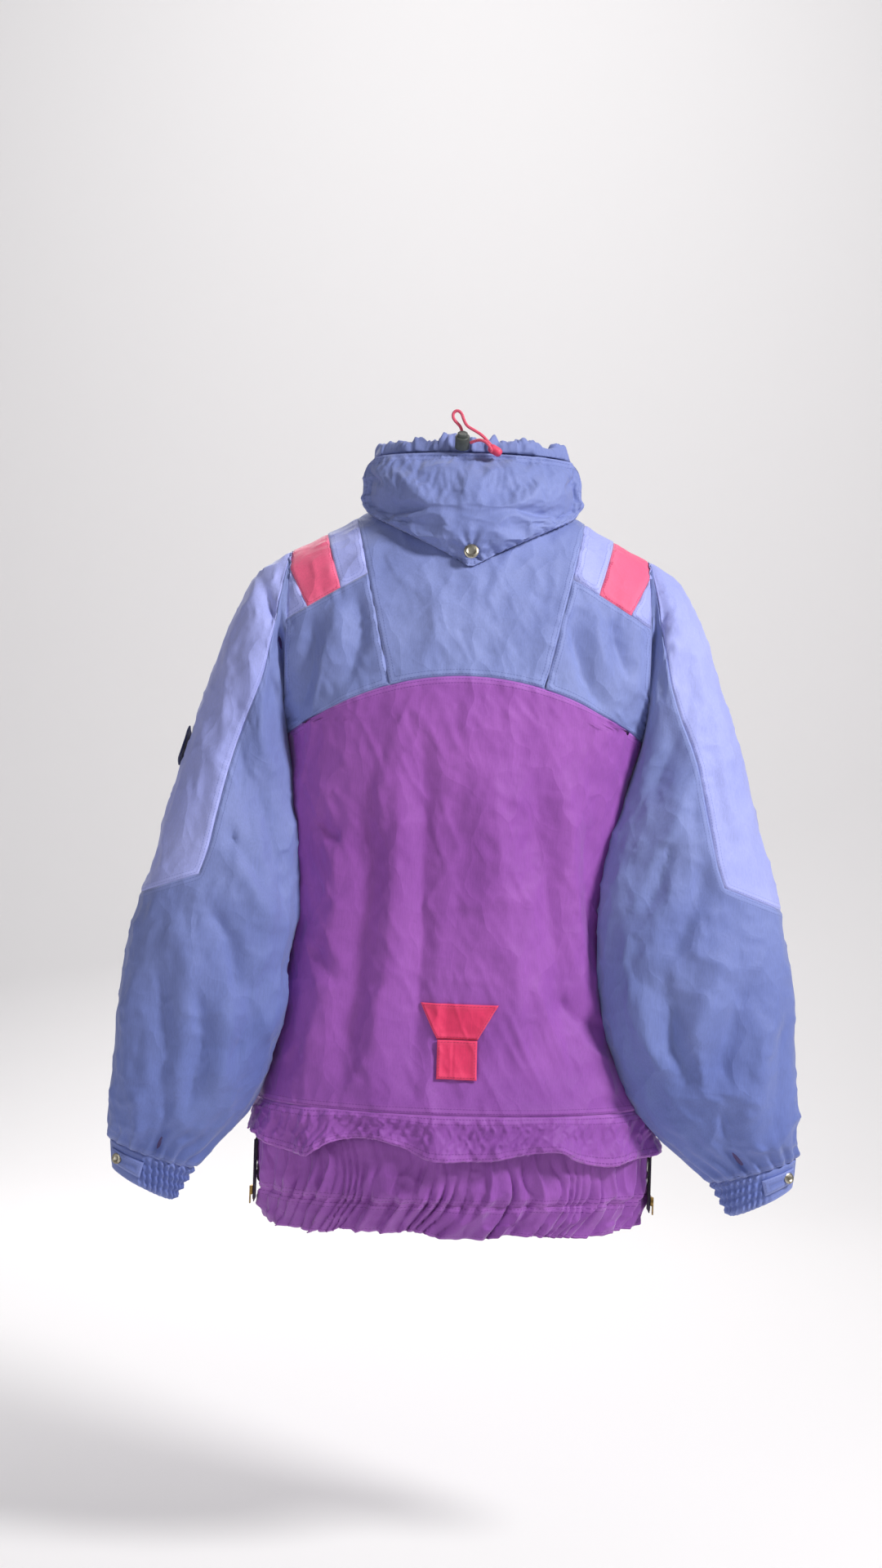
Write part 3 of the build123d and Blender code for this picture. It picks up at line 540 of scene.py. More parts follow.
            size = add_node(material, "ShaderNodeMath", {"operation": "ABSOLUTE"}, [(0, off, "Value")])
            lines.append(add_node(material, "ShaderNodeMapRange",
                                  {"From Min": 0.25, "From Max": 0.6, "To Min": 1.0,
                                                                   "To Max": 0.0},
                                  [("Value", size, "Value")]))
        both = add_node(material, "ShaderNodeMath", {"operation": "MAXIMUM"},
                        [(0, lines[0], "Result"), (1, lines[-1], "Result")])
        stitch = add_node(material, "ShaderNodeMath", {"operation": "MULTIPLY"},
                          [(0, both, "Value"), (1, dash, "Result")])
        sewn = add_node(material, "ShaderNodeMix", {"data_type": "RGBA"},
                        [("Factor", stitch, "Value"), (6, faded, 2)])
        sewn.inputs[7].default_value = linear(thread)
        colour, colour_out = sewn, 2
        sink = add_node(material, "ShaderNodeMath", {"operation": "MULTIPLY_ADD", 1: -0.5},
                        [(0, both, "Value"), (2, stitch, "Value")])
        bump = add_node(material, "ShaderNodeBump", {"Strength": 0.4, "Distance": 0.0004},
                        [("Height", sink, "Value"), ("Normal", bump, "Normal")])
    links = material.node_tree.links
    links.new(colour.outputs[colour_out], shader.inputs["Base Color"])
    links.new(bump.outputs["Normal"], shader.inputs["Normal"])
    return material


# slate and purple are given painted shade towards the bottom
slate = woven_cloth("Slate nylon shell cloth", "8793cb", "7481bd", "6d79b4", shade_below=0.8)
periwinkle = woven_cloth("Periwinkle nylon shell cloth", "adb3ee", "9ba2e2", "9299db")
purple = woven_cloth("Purple nylon shell cloth", "a65cba", "8f48a6", "83409a", shade_below=0.15)
coral = woven_cloth("Coral nylon shell cloth", "ec3a6c", "de2d60", "c22f5a", rows=(2.2,))
faded_coral = woven_cloth("Sun-faded coral shell cloth", "fa6a90", "f05884", "dc4a74", rows=(2.2,))
lining_cloth = woven_cloth("Plain woven lining", "55417a", "463466", "35264f", stitched=False, roughness=0.5)
print("cloth materials made")


def finish_piece(piece, material, body=None, replaces=()):
    piece.data.materials.clear()
    piece.data.materials.append(material)
    if body:
        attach(piece, body)
    if replaces:
        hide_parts(*replaces)
    print(piece.name, len(piece.data.polygons), "faces")
    return piece


# %% [markdown]
# ## Body panels
# The back is one purple panel under a slate yoke, with a quilted band along its hem. Shoulder panels run
# over the ridge. Each panel is made between its own seams.

# %% Back panels
hem_wave = smooth_table([-212, -186, -158, -121, -99, -65, -23, 20, 59, 82, 119, 147, 189, 212],
                        [-666, -667, -671, -663, -653, -658, -664, -663, -650, -645, -650, -667, -661, -653])


def minus_side(z):
    return -side_limit(z)


def level(z0):
    return lambda x: np.full_like(x, z0)


def minus_slant(z):
    return -slant_seam(z)


BAND_TOP_Z = -619.0
angle, z = body_panel(minus_side, side_limit, level(BAND_TOP_Z), yoke_seam, 190, 126)
back_panel = cloth_piece("back_panel", [body_cloth(angle, z)])
finish_piece(back_panel, purple, "jacket", ["back_panel"])

angle, z = body_panel(minus_side, side_limit, level(HEM_Z), level(BAND_TOP_Z), 420, 30)
base = body_point(angle, z)
share = (BAND_TOP_Z - z) / (BAND_TOP_Z - HEM_Z)
drop = share * (hem_wave(base[..., 0]) - HEM_Z)
quilt_x, quilt_z = base[..., 0], z
crinkled = 2.4 * crease_random(quilt_x / 13 + quilt_z / 9, 5.0 + quilt_x / 40, quilt_z / 17 - quilt_x / 11)
wander = 1.2 * smooth_random(quilt_x / 12, 1, quilt_z / 12)
stitched_rows = np.abs(np.sin(quilt_x / 3.4 + quilt_z / 4.4 + wander))
crinkled += 1.5 * stitched_rows * smoothstep(2, 8, BAND_TOP_Z - z)
flare = 4 * share * np.sin(quilt_x / 19 + 0.6) + 4 * share * np.sin(quilt_x / 9.5)
band = body_cloth(angle, z, extra=crinkled * smoothstep(0, 5, BAND_TOP_Z - z) + flare, hem=drop)
finish_piece(cloth_piece("back_hem_band", [band]), purple, "jacket", ["back_hem_band"])

angle, z = body_panel(minus_slant, slant_seam, yoke_seam, level(NECK_Z), 76, 56)
finish_piece(cloth_piece("back_yoke_centre", [body_cloth(angle, z)]), slate, "jacket",
             ["back_yoke_center"])
for side, word in ((1, "left"), (-1, "right")):
    edges = (slant_seam, side_limit) if side > 0 else (minus_side, minus_slant)
    angle, z = body_panel(*edges, yoke_seam, saddle_seam, 44, 44)
    finish_piece(cloth_piece(f"back_yoke_{word}", [body_cloth(angle, z)]), slate, "jacket",
                 [f"back_yoke_{word}"])


# %% Shoulder panels and patches, over the ridge
def saddle_panel(inner, outer, cols, rows):
    """inner and outer give x at a height z; rows run over the ridge from the back seam to the front seam."""
    u = np.linspace(0, 1, cols)
    sweep = np.linspace(-1, 1, rows)

    def line(weight, z):
        return (1 - weight) * inner(z) + weight * outer(z)

    z_low = np.full(cols, -100.0)
    for _ in range(60):
        z_low = 0.5 * z_low + 0.5 * saddle_seam(line(u, z_low))
    angle_low = np.arcsin(np.clip(line(u, z_low) / half_width(z_low), -1, 1))
    angle = np.pi / 2 + sweep[:, None] * (np.pi / 2 - angle_low)[None]
    low = np.broadcast_to(z_low, angle.shape).copy() - 1.0
    high = np.full(angle.shape, NECK_Z + 0.0)
    for _ in range(50):
        middle = (low + high) / 2
        outside = half_width(middle) * np.sin(angle) < line(u[None], middle)
        high = np.where(outside, middle, high)
        low = np.where(outside, low, middle)
    return angle, (low + high) / 2


def patch_inner(z):
    return 132 + (z + 95) * 28 / 95


def patch_outer(z):
    return np.minimum(171 + (z + 104) * 23 / 45, ARMHOLE_X)


def armhole_line(z):
    return np.full_like(z, ARMHOLE_X)


def mirrored_grid(grid):
    points = grid["points"].copy()
    points[..., 0] *= -1
    return {**grid, "points": points[:, ::-1],
            "attributes": {k: v[:, ::-1] for k, v in grid["attributes"].items()}}


def over_ridge(inner, outer, cols, rows, seams):
    angle, z = saddle_panel(inner, outer, cols, rows)
    return body_cloth(angle, z, seams=seams, wave=0.8)


panel_grids = [over_ridge(slant_seam, patch_inner, 16, 84, (1, 1, 1, 1)),
               over_ridge(patch_outer, armhole_line, 8, 84, (1, 1, 1, 0))]
patch_grid = over_ridge(patch_inner, patch_outer, 16, 84, (1, 1, 1, 1))
finish_piece(cloth_piece("shoulder_panel_left", panel_grids), periwinkle, "jacket",
             ["shoulder_panel_left"])
finish_piece(cloth_piece("shoulder_panel_right", [mirrored_grid(g) for g in panel_grids]), periwinkle,
             "jacket", ["shoulder_panel_right"])
finish_piece(cloth_piece("shoulder_patches", [patch_grid, mirrored_grid(patch_grid)]), faded_coral,
             "jacket", ["shoulder_patches"])

# %% Front panels
FRONT_X = 8.0


def front_edge(z):
    return np.full_like(z, FRONT_X)


def front_top(x):
    return np.where(np.abs(x) < 98, -77.0, saddle_seam(x))


def with_pocket_mouth(grid):
    """Lies flat round the pocket, and is cut away inside its welts."""
    points = grid["points"]
    down, across, out = POCKET_AXES
    rel = points - POCKET_ORIGIN
    along, aside, proud = rel @ down, rel @ across, rel @ out
    near = smoothstep(112, 84, np.abs(along)) * smoothstep(52, 22, np.abs(aside))
    points -= (np.clip(proud + 0.6, 0, None) * near)[..., None] * out
    inside = (np.abs(along) < 74) & (np.abs(aside) < 8.5)
    grid["keep"] = ~(inside[:-1, :-1] & inside[1:, :-1] & inside[1:, 1:] & inside[:-1, 1:])
    return grid


POCKET_ORIGIN = np.array([108.0, -98.47, -455.0])
POCKET_AXES = [np.array(v) for v in ((0.190287, 0.119975, -0.97437), (0.824223, 0.519667, 0.224951),
                                     (0.533336, -0.845903, 0))]          # down, across, out
angle, z = body_panel(side_limit, front_edge, level(HEM_Z), front_top, 92, 150, back=False)
front_low = with_pocket_mouth(body_cloth(angle, z, seams=(1, 1, 1, 1)))
right_low = mirrored_grid(front_low)
right_low["keep"] = front_low["keep"][:, ::-1]
right_low["points"][..., 0] += ((left_fullness(z) - right_fullness(z)) * side_share(angle))[:, ::-1]
front_high = body_cloth(*body_panel(slant_seam, front_edge, level(-77.0), level(NECK_Z), 40, 24, back=False),
                        seams=(1, 1, 1, 1))
finish_piece(cloth_piece("front_panel_left", [front_low, front_high]), purple, "jacket",
             ["front_panel_left"])
finish_piece(cloth_piece("front_panel_right", [right_low, mirrored_grid(front_high)]), purple,
             "jacket", ["front_panel_right"])


# %% [markdown]
# ## Sleeves
# A sleeve hangs as a bent tube. Its outer band is periwinkle down to the elbow, and the rest slate. One
# grid of rings covers both, with a line of the grid on the band's edge, and its faces are then shared out.

# %% The sleeve's form
FIRST = ((186.0, -238), (186.0, -54), 55, -19)
CUFF_JOIN = ((264, -692), (352, -664), 30, 10)
# inner edge (x, z), outer edge (x, z), half depth, fore-and-aft centre; x is as on the left side
LEFT_STATIONS = [
    FIRST, ((179, -264), (222, -84), 60, -15), ((172, -297), (252, -150), 61, -9),
    ((170, -321), (272, -212), 61, -4), ((165, -345), (288, -270), 60, 6), ((164, -410), (322, -395), 58, 27),
    ((174, -490), (341, -495), 57, 34), ((184, -565), (349, -585), 54, 31),
                 ((206, -628), (353, -645), 47, 21),
    ((238, -664), (354, -657), 38, 14), CUFF_JOIN,
]
RIGHT_STATIONS = [
    FIRST, ((177, -264), (222, -84), 60, -15), ((165, -297), (252, -150), 61, -9),
    ((157, -321), (272, -212), 61, -3), ((150, -345), (288, -270), 60, 10),
                  ((141, -410), (322, -395), 58, 30),
    ((144, -490), (341, -495), 57, 36), ((156, -565), (349, -585), 54, 33),
                  ((190, -628), (353, -645), 47, 22),
    ((230, -664), (354, -657), 38, 14), CUFF_JOIN,
]
ARM_STEPS = [0.0, 0.10, 0.21, 0.29, 0.38, 0.52, 0.67, 0.80, 0.905, 0.955, 1.0]
STATION_VALUES = (lambda s: s[0][0], lambda s: s[0][1], lambda s: s[1][0], lambda s: s[1][1], lambda s: s[2],
                  lambda s: s[3])
arm_tables = {side: [smooth_table(ARM_STEPS, [value(s) for s in stations]) for value in STATION_VALUES]
              for side, stations in ((1, LEFT_STATIONS), (-1, RIGHT_STATIONS))}
BAND_EDGE = smooth_table([-145, -192, -254, -330, -370, -398], [199, 208, 230, 247, 256, 266])
BAND_END = 0.5


def sleeve_point(s, phi, out=0.0, side=1):
    """s runs from the armhole to the cuff; phi is 0 on the outer edge and 90 degrees at the back."""
    ix, iz, ox, oz, depth, cy = [table(s) for table in arm_tables[side]]
    c, w = np.cos(phi), np.sin(phi)
    half = np.hypot(ox - ix, oz - iz) / 2
    grow = 1 + out / half
    mx, mz = (ix + ox) / 2, (iz + oz) / 2
    x = mx + c * (ox - ix) / 2 * grow
    z = mz + c * (oz - iz) / 2 * grow
    y = cy + w * (depth + out)
    # at the armhole the ring follows the body's own cut edge
    a = np.maximum(half_width(z), 1.0)
    reach = half_depth(z) * np.sqrt(np.clip(1 - (ARMHOLE_X / a) ** 2, 0, 1))
    edge_y = front_y(z) + half_depth(z) + np.sign(w) * (reach + out)
    blend = smoothstep(0.07, 0.0, s)
    return np.stack([x, y * (1 - blend) + edge_y * blend, z], -1)


def band_angle(s, side=1):
    """The angle of the band's edge on a ring."""
    low = np.full(np.shape(s), 0.15)
    high = np.full(np.shape(s), 2.6)
    for _ in range(40):
        mid = (low + high) / 2
        p = sleeve_point(s, mid, 0.0, side)
        inside = p[..., 0] > np.where(p[..., 2] > -145, 199 - (p[..., 2] + 145) * 0.14, BAND_EDGE(p[..., 2]))
        low = np.where(inside, mid, low)
        high = np.where(inside, high, mid)
    return (low + high) / 2


print("band edge angles", np.round(np.degrees(band_angle(np.linspace(0.02, 0.5, 8)))))

# %% Folds of the sleeve
# Lines of (x, z) seen from behind, for the left sleeve and, mirrored, for the right.
LEFT_ARM_FOLDS = [
    ([(218, -76), (198, -122), (176, -225)], -9.0, 7),
    ([(226, -150), (206, -230), (196, -300)], 5.0, 13),
    ([(204, -170), (190, -230), (182, -290)], -6.5, 8),
    ([(228, -200), (222, -300), (206, -370)], -5.5, 10),
    ([(214, -280), (196, -330), (178, -390), (172, -440)], -7.0, 11),
    ([(244, -330), (216, -372), (190, -410)], -5.5, 9),
    ([(236, -350), (206, -400), (184, -450)], 5.0, 11),
    ([(258, -410), (230, -450), (210, -520)], -5.5, 10),
    ([(288, -420), (268, -480), (262, -560)], 4.0, 14),
    ([(300, -470), (290, -560), (296, -640)], -5.5, 12),
    ([(262, -480), (252, -560), (270, -640)], -6.0, 11),
    ([(236, -500), (228, -560), (244, -620)], 5.5, 12),
    ([(196, -470), (206, -540), (232, -590)], -5.5, 10),
    ([(322, -470), (330, -560), (326, -640)], 4.0, 12),
    ([(170, -480), (178, -520), (196, -560)], 5.0, 12),
    ([(284, -600), (292, -650), (306, -690)], -4.5, 8),
    ([(316, -600), (318, -650), (324, -680)], 4.0, 8),
    ([(256, -250), (244, -300), (248, -360)], 2.5, 12),
    ([(206, -96), (196, -118), (190, -150)], 4.5, 8),
]
RIGHT_ARM_FOLDS = [
    ([(208, -100), (196, -118), (186, -150), (180, -200)], -8.0, 7),
    ([(216, -120), (204, -128), (194, -126)], 4.0, 6),
    ([(232, -190), (208, -250), (186, -310)], -4.5, 11),
    ([(240, -240), (220, -300), (192, -380)], 4.5, 14),
    ([(214, -330), (196, -380), (178, -420)], -5.5, 10),
    ([(250, -350), (226, -420), (200, -470)], -5.0, 12),
    ([(272, -430), (246, -500), (222, -560)], 5.0, 14),
    ([(296, -460), (272, -540), (252, -600)], -5.5, 12),
    ([(320, -480), (304, -560), (288, -640)], 4.5, 14),
    ([(200, -460), (212, -540), (236, -600)], -5.5, 11),
    ([(176, -470), (192, -540), (214, -590)], 5.0, 12),
    ([(332, -500), (330, -580), (322, -650)], -4.0, 11),
    ([(260, -600), (280, -650), (300, -690)], -4.5, 9),
    ([(262, -180), (256, -260), (266, -340)], 2.5, 14),
    ([(230, -140), (222, -170), (232, -210)], -3.0, 9),
]
ROWS, BAND_COLS, BODY_COLS = 200, 48, 84


def sleeve_grids(folds, seed, side):
    """The whole sleeve as one grid around, and which of its faces belong to the band."""
    s = np.linspace(0, 1, ROWS)[:, None]
    end_row = int(np.argmin(np.abs(s[:, 0] - BAND_END)))
    edge = band_angle(np.minimum(s[:, 0], BAND_END), side)[:, None]
    t = np.linspace(-1, 1, BAND_COLS, endpoint=False)[None]
    r = np.linspace(0, 1, BODY_COLS, endpoint=False)[None]
    phi = np.concatenate([edge * t, edge + (2 * np.pi - 2 * edge) * r], 1)
    # the band ends on a slant: rings near its end dip towards the outer edge
    towards_end = np.exp(-(((s - BAND_END) / 0.09) ** 2))
    dip = 0.038 * (np.cos(phi) - np.cos(edge)) / (1 - np.cos(edge)) * towards_end
    s_grid = np.clip(s + dip, 0, 1)
    base = sleeve_point(s_grid, phi, 0.0, side)
    normal = sleeve_point(s_grid, phi, 1.0, side) - base
    normal /= np.linalg.norm(normal, axis=2, keepdims=True)
    around = arc_length(np.concatenate([base, base[:, :1]], 1), 1)[:, :-1]
    down = arc_length(base, 0)
    edge_a = around[:, BAND_COLS:BAND_COLS + 1]
    whole = around[:, -1:]
    to_edge = np.minimum(np.abs(around - edge_a), np.minimum(around, whole - around))
    to_end = np.abs(down - down[end_row:end_row + 1])
    in_band_rows = (np.arange(ROWS) <= end_row)[:, None]
    near = np.where(in_band_rows, to_edge, 900.0)
    band_columns = (np.arange(phi.shape[1]) <= BAND_COLS)[None]
    near = np.where(band_columns, np.minimum(near, to_end), near)
    corner = np.hypot(np.where(in_band_rows, 0, to_end), to_edge)
    near = np.minimum(near, np.where(in_band_rows, 900.0, np.where(band_columns, to_end, corner)))
    near = np.minimum(near, down)
    near = np.minimum(near, down[-1:] - down)
    beside = np.where((near == to_end) | (near == down), around, down)
    x, y, z = base[..., 0], base[..., 1], base[..., 2]
    back = smoothstep(-0.25, 0.3, np.sin(phi))
    soft = smoothstep(0, 22, near)
    height = 1.35 * fold_height(x, z, folds) * back * (0.45 + 0.55 * soft)
    mirrored = fold_height(x - 4, z + 14, RIGHT_ARM_FOLDS if folds is LEFT_ARM_FOLDS else LEFT_ARM_FOLDS)
    height += 0.8 * mirrored * (1 - back) * soft
    ends = smoothstep(0, 0.05, s) * smoothstep(1, 0.93, s)
    height += 2.2 * smooth_random(x / 40 + seed, y / 40, z / 95) * soft * ends
    height += 3.4 * crumple(x + 77 * seed, y, z, 50, (0.9, 1.0, 1.9)) * soft * ends
    height += 2.3 * crumple(x - 31 * seed, y + 11, z, 19, (1.0, 1.0, 1.4)) * soft * ends
    height += 0.35 * smooth_random(x / 7, y / 7, z / 9) * soft
    # cloth bunches where the arm ends in the cuff, and in the crook of the armhole
    gather = smoothstep(0.86, 1.0, s)
    height += 2.6 * gather * np.sin(around / whole * 2 * np.pi * 17 + 2 * smooth_random(around / 30, seed,
                                                                                        s * 4))
    height += seam_dip(near) + puckers(to_edge, down, seed + 5) * in_band_rows
    height *= smoothstep(-0.01, 0.02, s)
    points = base + normal * height[..., None]
    attributes = {"edge_mm": near, "along_mm": beside, "grain_u": around, "grain_v": down}
    keep_band = np.zeros((ROWS - 1, phi.shape[1]), bool)
    keep_band[:end_row, :BAND_COLS] = True
    return points, attributes, keep_band, phi, s_grid


def placed(points, attributes, side):
    """The points mirrored in x for the right side; rows, columns and attributes stay as they are."""
    if side > 0:
        return points, attributes
    points = points.copy()
    points[..., 0] *= -1
    return points, attributes


def bend_with_sleeve(piece):
    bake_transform(piece)


sleeve_forms = {}
for side, word, folds, seed in ((1, "left", LEFT_ARM_FOLDS, 1.0), (-1, "right", RIGHT_ARM_FOLDS, 4.0)):
    points, attributes, keep_band, phi, s_grid = sleeve_grids(folds, seed, side)
    points, attributes = placed(points, attributes, side)
    sleeve_forms[word] = (points, phi, s_grid)
    for part, keep, material, slot in (("band", keep_band, periwinkle, "shell_periwinkle"),
                                       ("body", ~keep_band, slate, "shell_slate")):
        grid = {"points": points, "around": True, "keep": keep, "attributes": attributes}
        piece = cloth_piece(f"sleeve_{part}_{word}", [grid], flip=side < 0)
        finish_piece(piece, material, None, [f"sleeve_{part}_{word}"])
        bend_with_sleeve(piece)

# %% [markdown]
# ## Lining
# Inside, a plain lining hangs clear of the shell's folds, 20 mm below them in the body and 13 mm in the sleeves.
# It is one sheet round the body, cut away at the armholes, and one tube in each sleeve.

# %% Lining of the body and sleeves
LINING_INSET = 20.0


def angles_round(gap, half, count):
    """From one front edge, round the back, to the other."""
    reach = math.pi - math.asin(gap / half)
    return np.linspace(-reach, reach, count)[None]


angle = angles_round(17.0, 160.0, 220)
z = np.linspace(HEM_Z + 6, NECK_Z - 2, 130)[:, None]
points = body_point(angle, z, -LINING_INSET)
ripple = 2.0 * smooth_random(points[..., 0] / 30, points[..., 1] / 30, points[..., 2] / 60)
points[..., 1] += ripple
limit = ARMHOLE_X - 2.0
beyond = (np.abs(points[..., 0]) > limit) & (points[..., 2] > -244)
points[..., 0] = np.where(beyond, np.sign(points[..., 0]) * limit, points[..., 0])
keep = ~(beyond[:-1, :-1] & beyond[1:, :-1] & beyond[1:, 1:] & beyond[:-1, 1:])
lining_grid = {"points": points, "keep": keep,
               "attributes": {"grain_u": arc_length(points, 1), "grain_v": arc_length(points, 0)}}
body_lining = finish_piece(cloth_piece("body_lining", [lining_grid], 1.2), lining_cloth, "jacket",
                           ["torso_wadding", "torso_lining", "pocket_bags"])
for side, word in ((1, "left"), (-1, "right")):
    s_line = np.linspace(0.012, 1.0, 90)[:, None]
    phi = np.linspace(0, 2 * np.pi, 72, endpoint=False)[None]
    points = sleeve_point(s_line, phi, -13.0 + 7 * smoothstep(0.85, 1.0, s_line), side)
    points[..., 0] *= side
    grid = {"points": points, "around": True,
            "attributes": {"grain_u": arc_length(points, 1), "grain_v": arc_length(points, 0)}}
    piece = cloth_piece(f"sleeve_lining_{word}", [grid], 1.2, flip=side < 0)
    finish_piece(piece, lining_cloth, None, [f"sleeve_lining_{word}"])
    bend_with_sleeve(piece)


# %% [markdown]
# ## Cuffs
# Each cuff is gathered with rows of elastic on its inner half and lies flat under its tab on the outer
# half. The gathers could be simulated, but a cuff is small and its pleats are regular, so waves that grow
# between the elastic rows give the same look.

# %% Cuffs and cuff tabs
CUFF_START, CUFF_STOP = ((264, -692), (352, -664), 30, 10), ((285, -727), (350, -694), 25, 8)


def cuff_point(t, phi, out=0.0):
    """t is 0 at the sleeve and 1 at the wrist's edge."""
    def mix(a, b):
        return a + (b - a) * t
    ix, iz = mix(CUFF_START[0][0], CUFF_STOP[0][0]), mix(CUFF_START[0][1], CUFF_STOP[0][1])
    ox, oz = mix(CUFF_START[1][0], CUFF_STOP[1][0]), mix(CUFF_START[1][1], CUFF_STOP[1][1])
    depth, cy = mix(CUFF_START[2], CUFF_STOP[2]), mix(CUFF_START[3], CUFF_STOP[3])
    half = np.hypot(ox - ix, oz - iz) / 2
    c, w = np.cos(phi), np.sin(phi)
    return np.stack([(ix + ox) / 2 + c * (ox - ix) / 2 * (1 + out / half), cy + w * (depth + out),
                     (iz + oz) / 2 + c * (oz - iz) / 2 * (1 + out / half)], -1)


ELASTIC_ROWS = 4


def cuff_relief(t, phi, around):
    inner_half = smoothstep(0.35, -0.25, np.cos(phi))
    tight = np.cos(2 * np.pi * ELASTIC_ROWS * t) * 0.5 + 0.5
    pleat = np.sin(around / 5.2 * 2 * np.pi / 1.25 + 1.4 * smooth_random(around / 14, t * 3, 2.0))
    folded = (0.8 + 1.5 * (1 - tight)) * pleat - 1.6 * tight
    flat = 0.5 * smooth_random(around / 12, t * 4, 8.0)
    return inner_half * folded + (1 - inner_half) * flat


for side, word in ((1, "left"), (-1, "right")):
    t = np.linspace(-0.06, 1, 56)[:, None]
    phi = np.linspace(0, 2 * np.pi, 240, endpoint=False)[None]
    base = cuff_point(t, phi)
    around, down = arc_length(base, 1), arc_length(base, 0)
    normal = cuff_point(t, phi, 1.0) - base
    near = np.minimum(down, down[-1:] - down)
    height = cuff_relief(t, phi, around) * smoothstep(-0.06, 0.1, t) - 1.2 * smoothstep(0.04, -0.02, t)
    height -= 1.2 * np.exp(-(((t - 0.02) / 0.03) ** 2))
    points = base + normal / np.linalg.norm(normal, axis=2, keepdims=True) * height[..., None]
    points[..., 0] *= side
    grid = {"points": points, "around": True,
            "attributes": {"edge_mm": near, "along_mm": around, "grain_u": around, "grain_v": down}}
    finish_piece(cloth_piece(f"cuff_{word}", [grid], 2.4, flip=side < 0), slate,
                 f"{word}_sleeve",
                 [f"cuff_{word}"])
    # the tab: a flat strap over the back of the cuff, from near its middle to the outer edge
    t = np.linspace(0.24, 0.74, 22)[:, None]
    phi = np.linspace(math.radians(86), math.radians(28), 40)[None] + 0 * t
    base = cuff_point(t, phi, 2.2)
    across, down = arc_length(base, 1), arc_length(base, 0)
    near = np.minimum.reduce([across, across[:, -1:] - across, down, down[-1:] - down])
    lift = 0.9 * np.exp(-(((near - 4) / 3) ** 2)) - 0.9 * np.exp(-((near / 1.2) ** 2))
    normal = cuff_point(t, phi, 3.2) - base
    points = base + normal * lift[..., None]
    points[..., 0] *= side
    grid = {"points": points, "attributes": {"edge_mm": near, "along_mm": across + down, "grain_u": across,
                                             "grain_v": down}}
    finish_piece(cloth_piece(f"cuff_tab_{word}", [grid], 1.6, flip=side > 0), slate,
                 f"{word}_cuff_tab", [f"cuff_tab_{word}"])

# %% [markdown]
# ## Hem skirt
# An inner skirt hangs below the quilted hem. Elastic in its casing gathers it, so its folds are tight and
# sharp at the casing and fade towards the waist.

# %% Skirt
SKIRT_STATIONS = [(-620, 192, 103), (-655, 204, 107), (-700, 206, 106), (-722, 203, 102), (-746, 197, 96)]
skirt_width = smooth_table([s[0] for s in SKIRT_STATIONS], [s[1] for s in SKIRT_STATIONS])
skirt_depth = smooth_table([s[0] for s in SKIRT_STATIONS], [s[2] for s in SKIRT_STATIONS])
CASING_Z = -712.0


def skirt_point(angle, z, out=0.0):
    a, b = skirt_width(z), skirt_depth(z)
    return np.stack(np.broadcast_arrays((a + out) * np.sin(angle),
                                        front_y(z) + b + 12 + (b + out) * np.cos(angle), z),
                    -1)


angle = angles_round(8.0, 195.0, 900)
z = np.linspace(-746, -622, 60)[:, None]
base = skirt_point(angle, z)
around, up = arc_length(base, 1), arc_length(base, 0)
normal = skirt_point(angle, z, 1.0) - base
bunched = np.exp(-(((z - CASING_Z) / 16) ** 2)) + 0.75 * smoothstep(-725, -735, z)
loose = smoothstep(-640, -690, z)
jitter = 9 * smooth_random(around / 70, z / 55, 3.0)
pleats = crease_random((around + jitter) / 26, z / 95, 2.0) - 0.35
sharp = crease_random((around + jitter) / 11 + 40, z / 42, 6.0) - 0.35
height = 9 * pleats * (0.35 + 0.65 * loose) + 6.0 * sharp * bunched
TUCK_PITCH, TUCK_DEPTH = 14.5, 9.0
tuck = (around + 0.6 * jitter) / TUCK_PITCH + 1.6 * smooth_random(around / 48, 1.0, 9.0)
tuck += 0.25 * smooth_random(around / 20, z / 30, 4.0)
tight = 1 - np.abs(np.sin(np.pi * tuck)) ** 0.55
uneven = 0.55 + 0.6 * np.abs(smooth_random(around / 30, z / 60, 8.0))
height -= TUCK_DEPTH * tight * (0.2 + 0.35 * loose + 0.6 * bunched) * uneven
height += 2.0 * crumple(base[..., 0], base[..., 1], z, 24) * loose
casing = np.abs(z - CASING_Z)
height -= 2.6 * np.exp(-((casing / 1.6) ** 2)) + 2.4 * smoothstep(8, 0, casing) * np.abs(sharp)
edge_lift = 5.0 * smooth_random(around / 34, 1.0, 5.0) + 3.0 * sharp
points = base + normal * height[..., None]
points[..., 2] += edge_lift * smoothstep(-700, -746, z)
near = np.minimum(np.minimum(casing, up + 3), 900)
grid = {"points": points,
        "attributes": {"edge_mm": near, "along_mm": around, "grain_u": around, "grain_v": up}}
hem_skirt = finish_piece(cloth_piece("hem_skirt", [grid], 1.1), purple, "jacket",
                         ["hem_skirt", "hem_elastic"])

# %% [markdown]
# ## Collar, drawcord channel and the stowed hood
# The stand collar is padded, and a channel for the drawcord is gathered along its top. Behind it hangs the
# pouch with the rolled hood inside: a stuffed pillow that narrows to a V, held by one snap. A pillow's
# sides pull in where it is sewn and swell between, so it is simulated as cloth with air in it.

# %% Collar
def collar_point(angle, z, out=0.0):
    taper = 6.0 * (z + 8) / 60
    a, b = 107 - taper, 62 - 0.6 * taper
    return np.stack(np.broadcast_arrays((a + out) * np.sin(angle), front_y(z) + b + (b + out) * np.cos(angle),
                                        z), -1)


angle = angles_round(8.0, 104.0, 240)
z = np.linspace(NECK_Z - 1, 53, 34)[:, None]


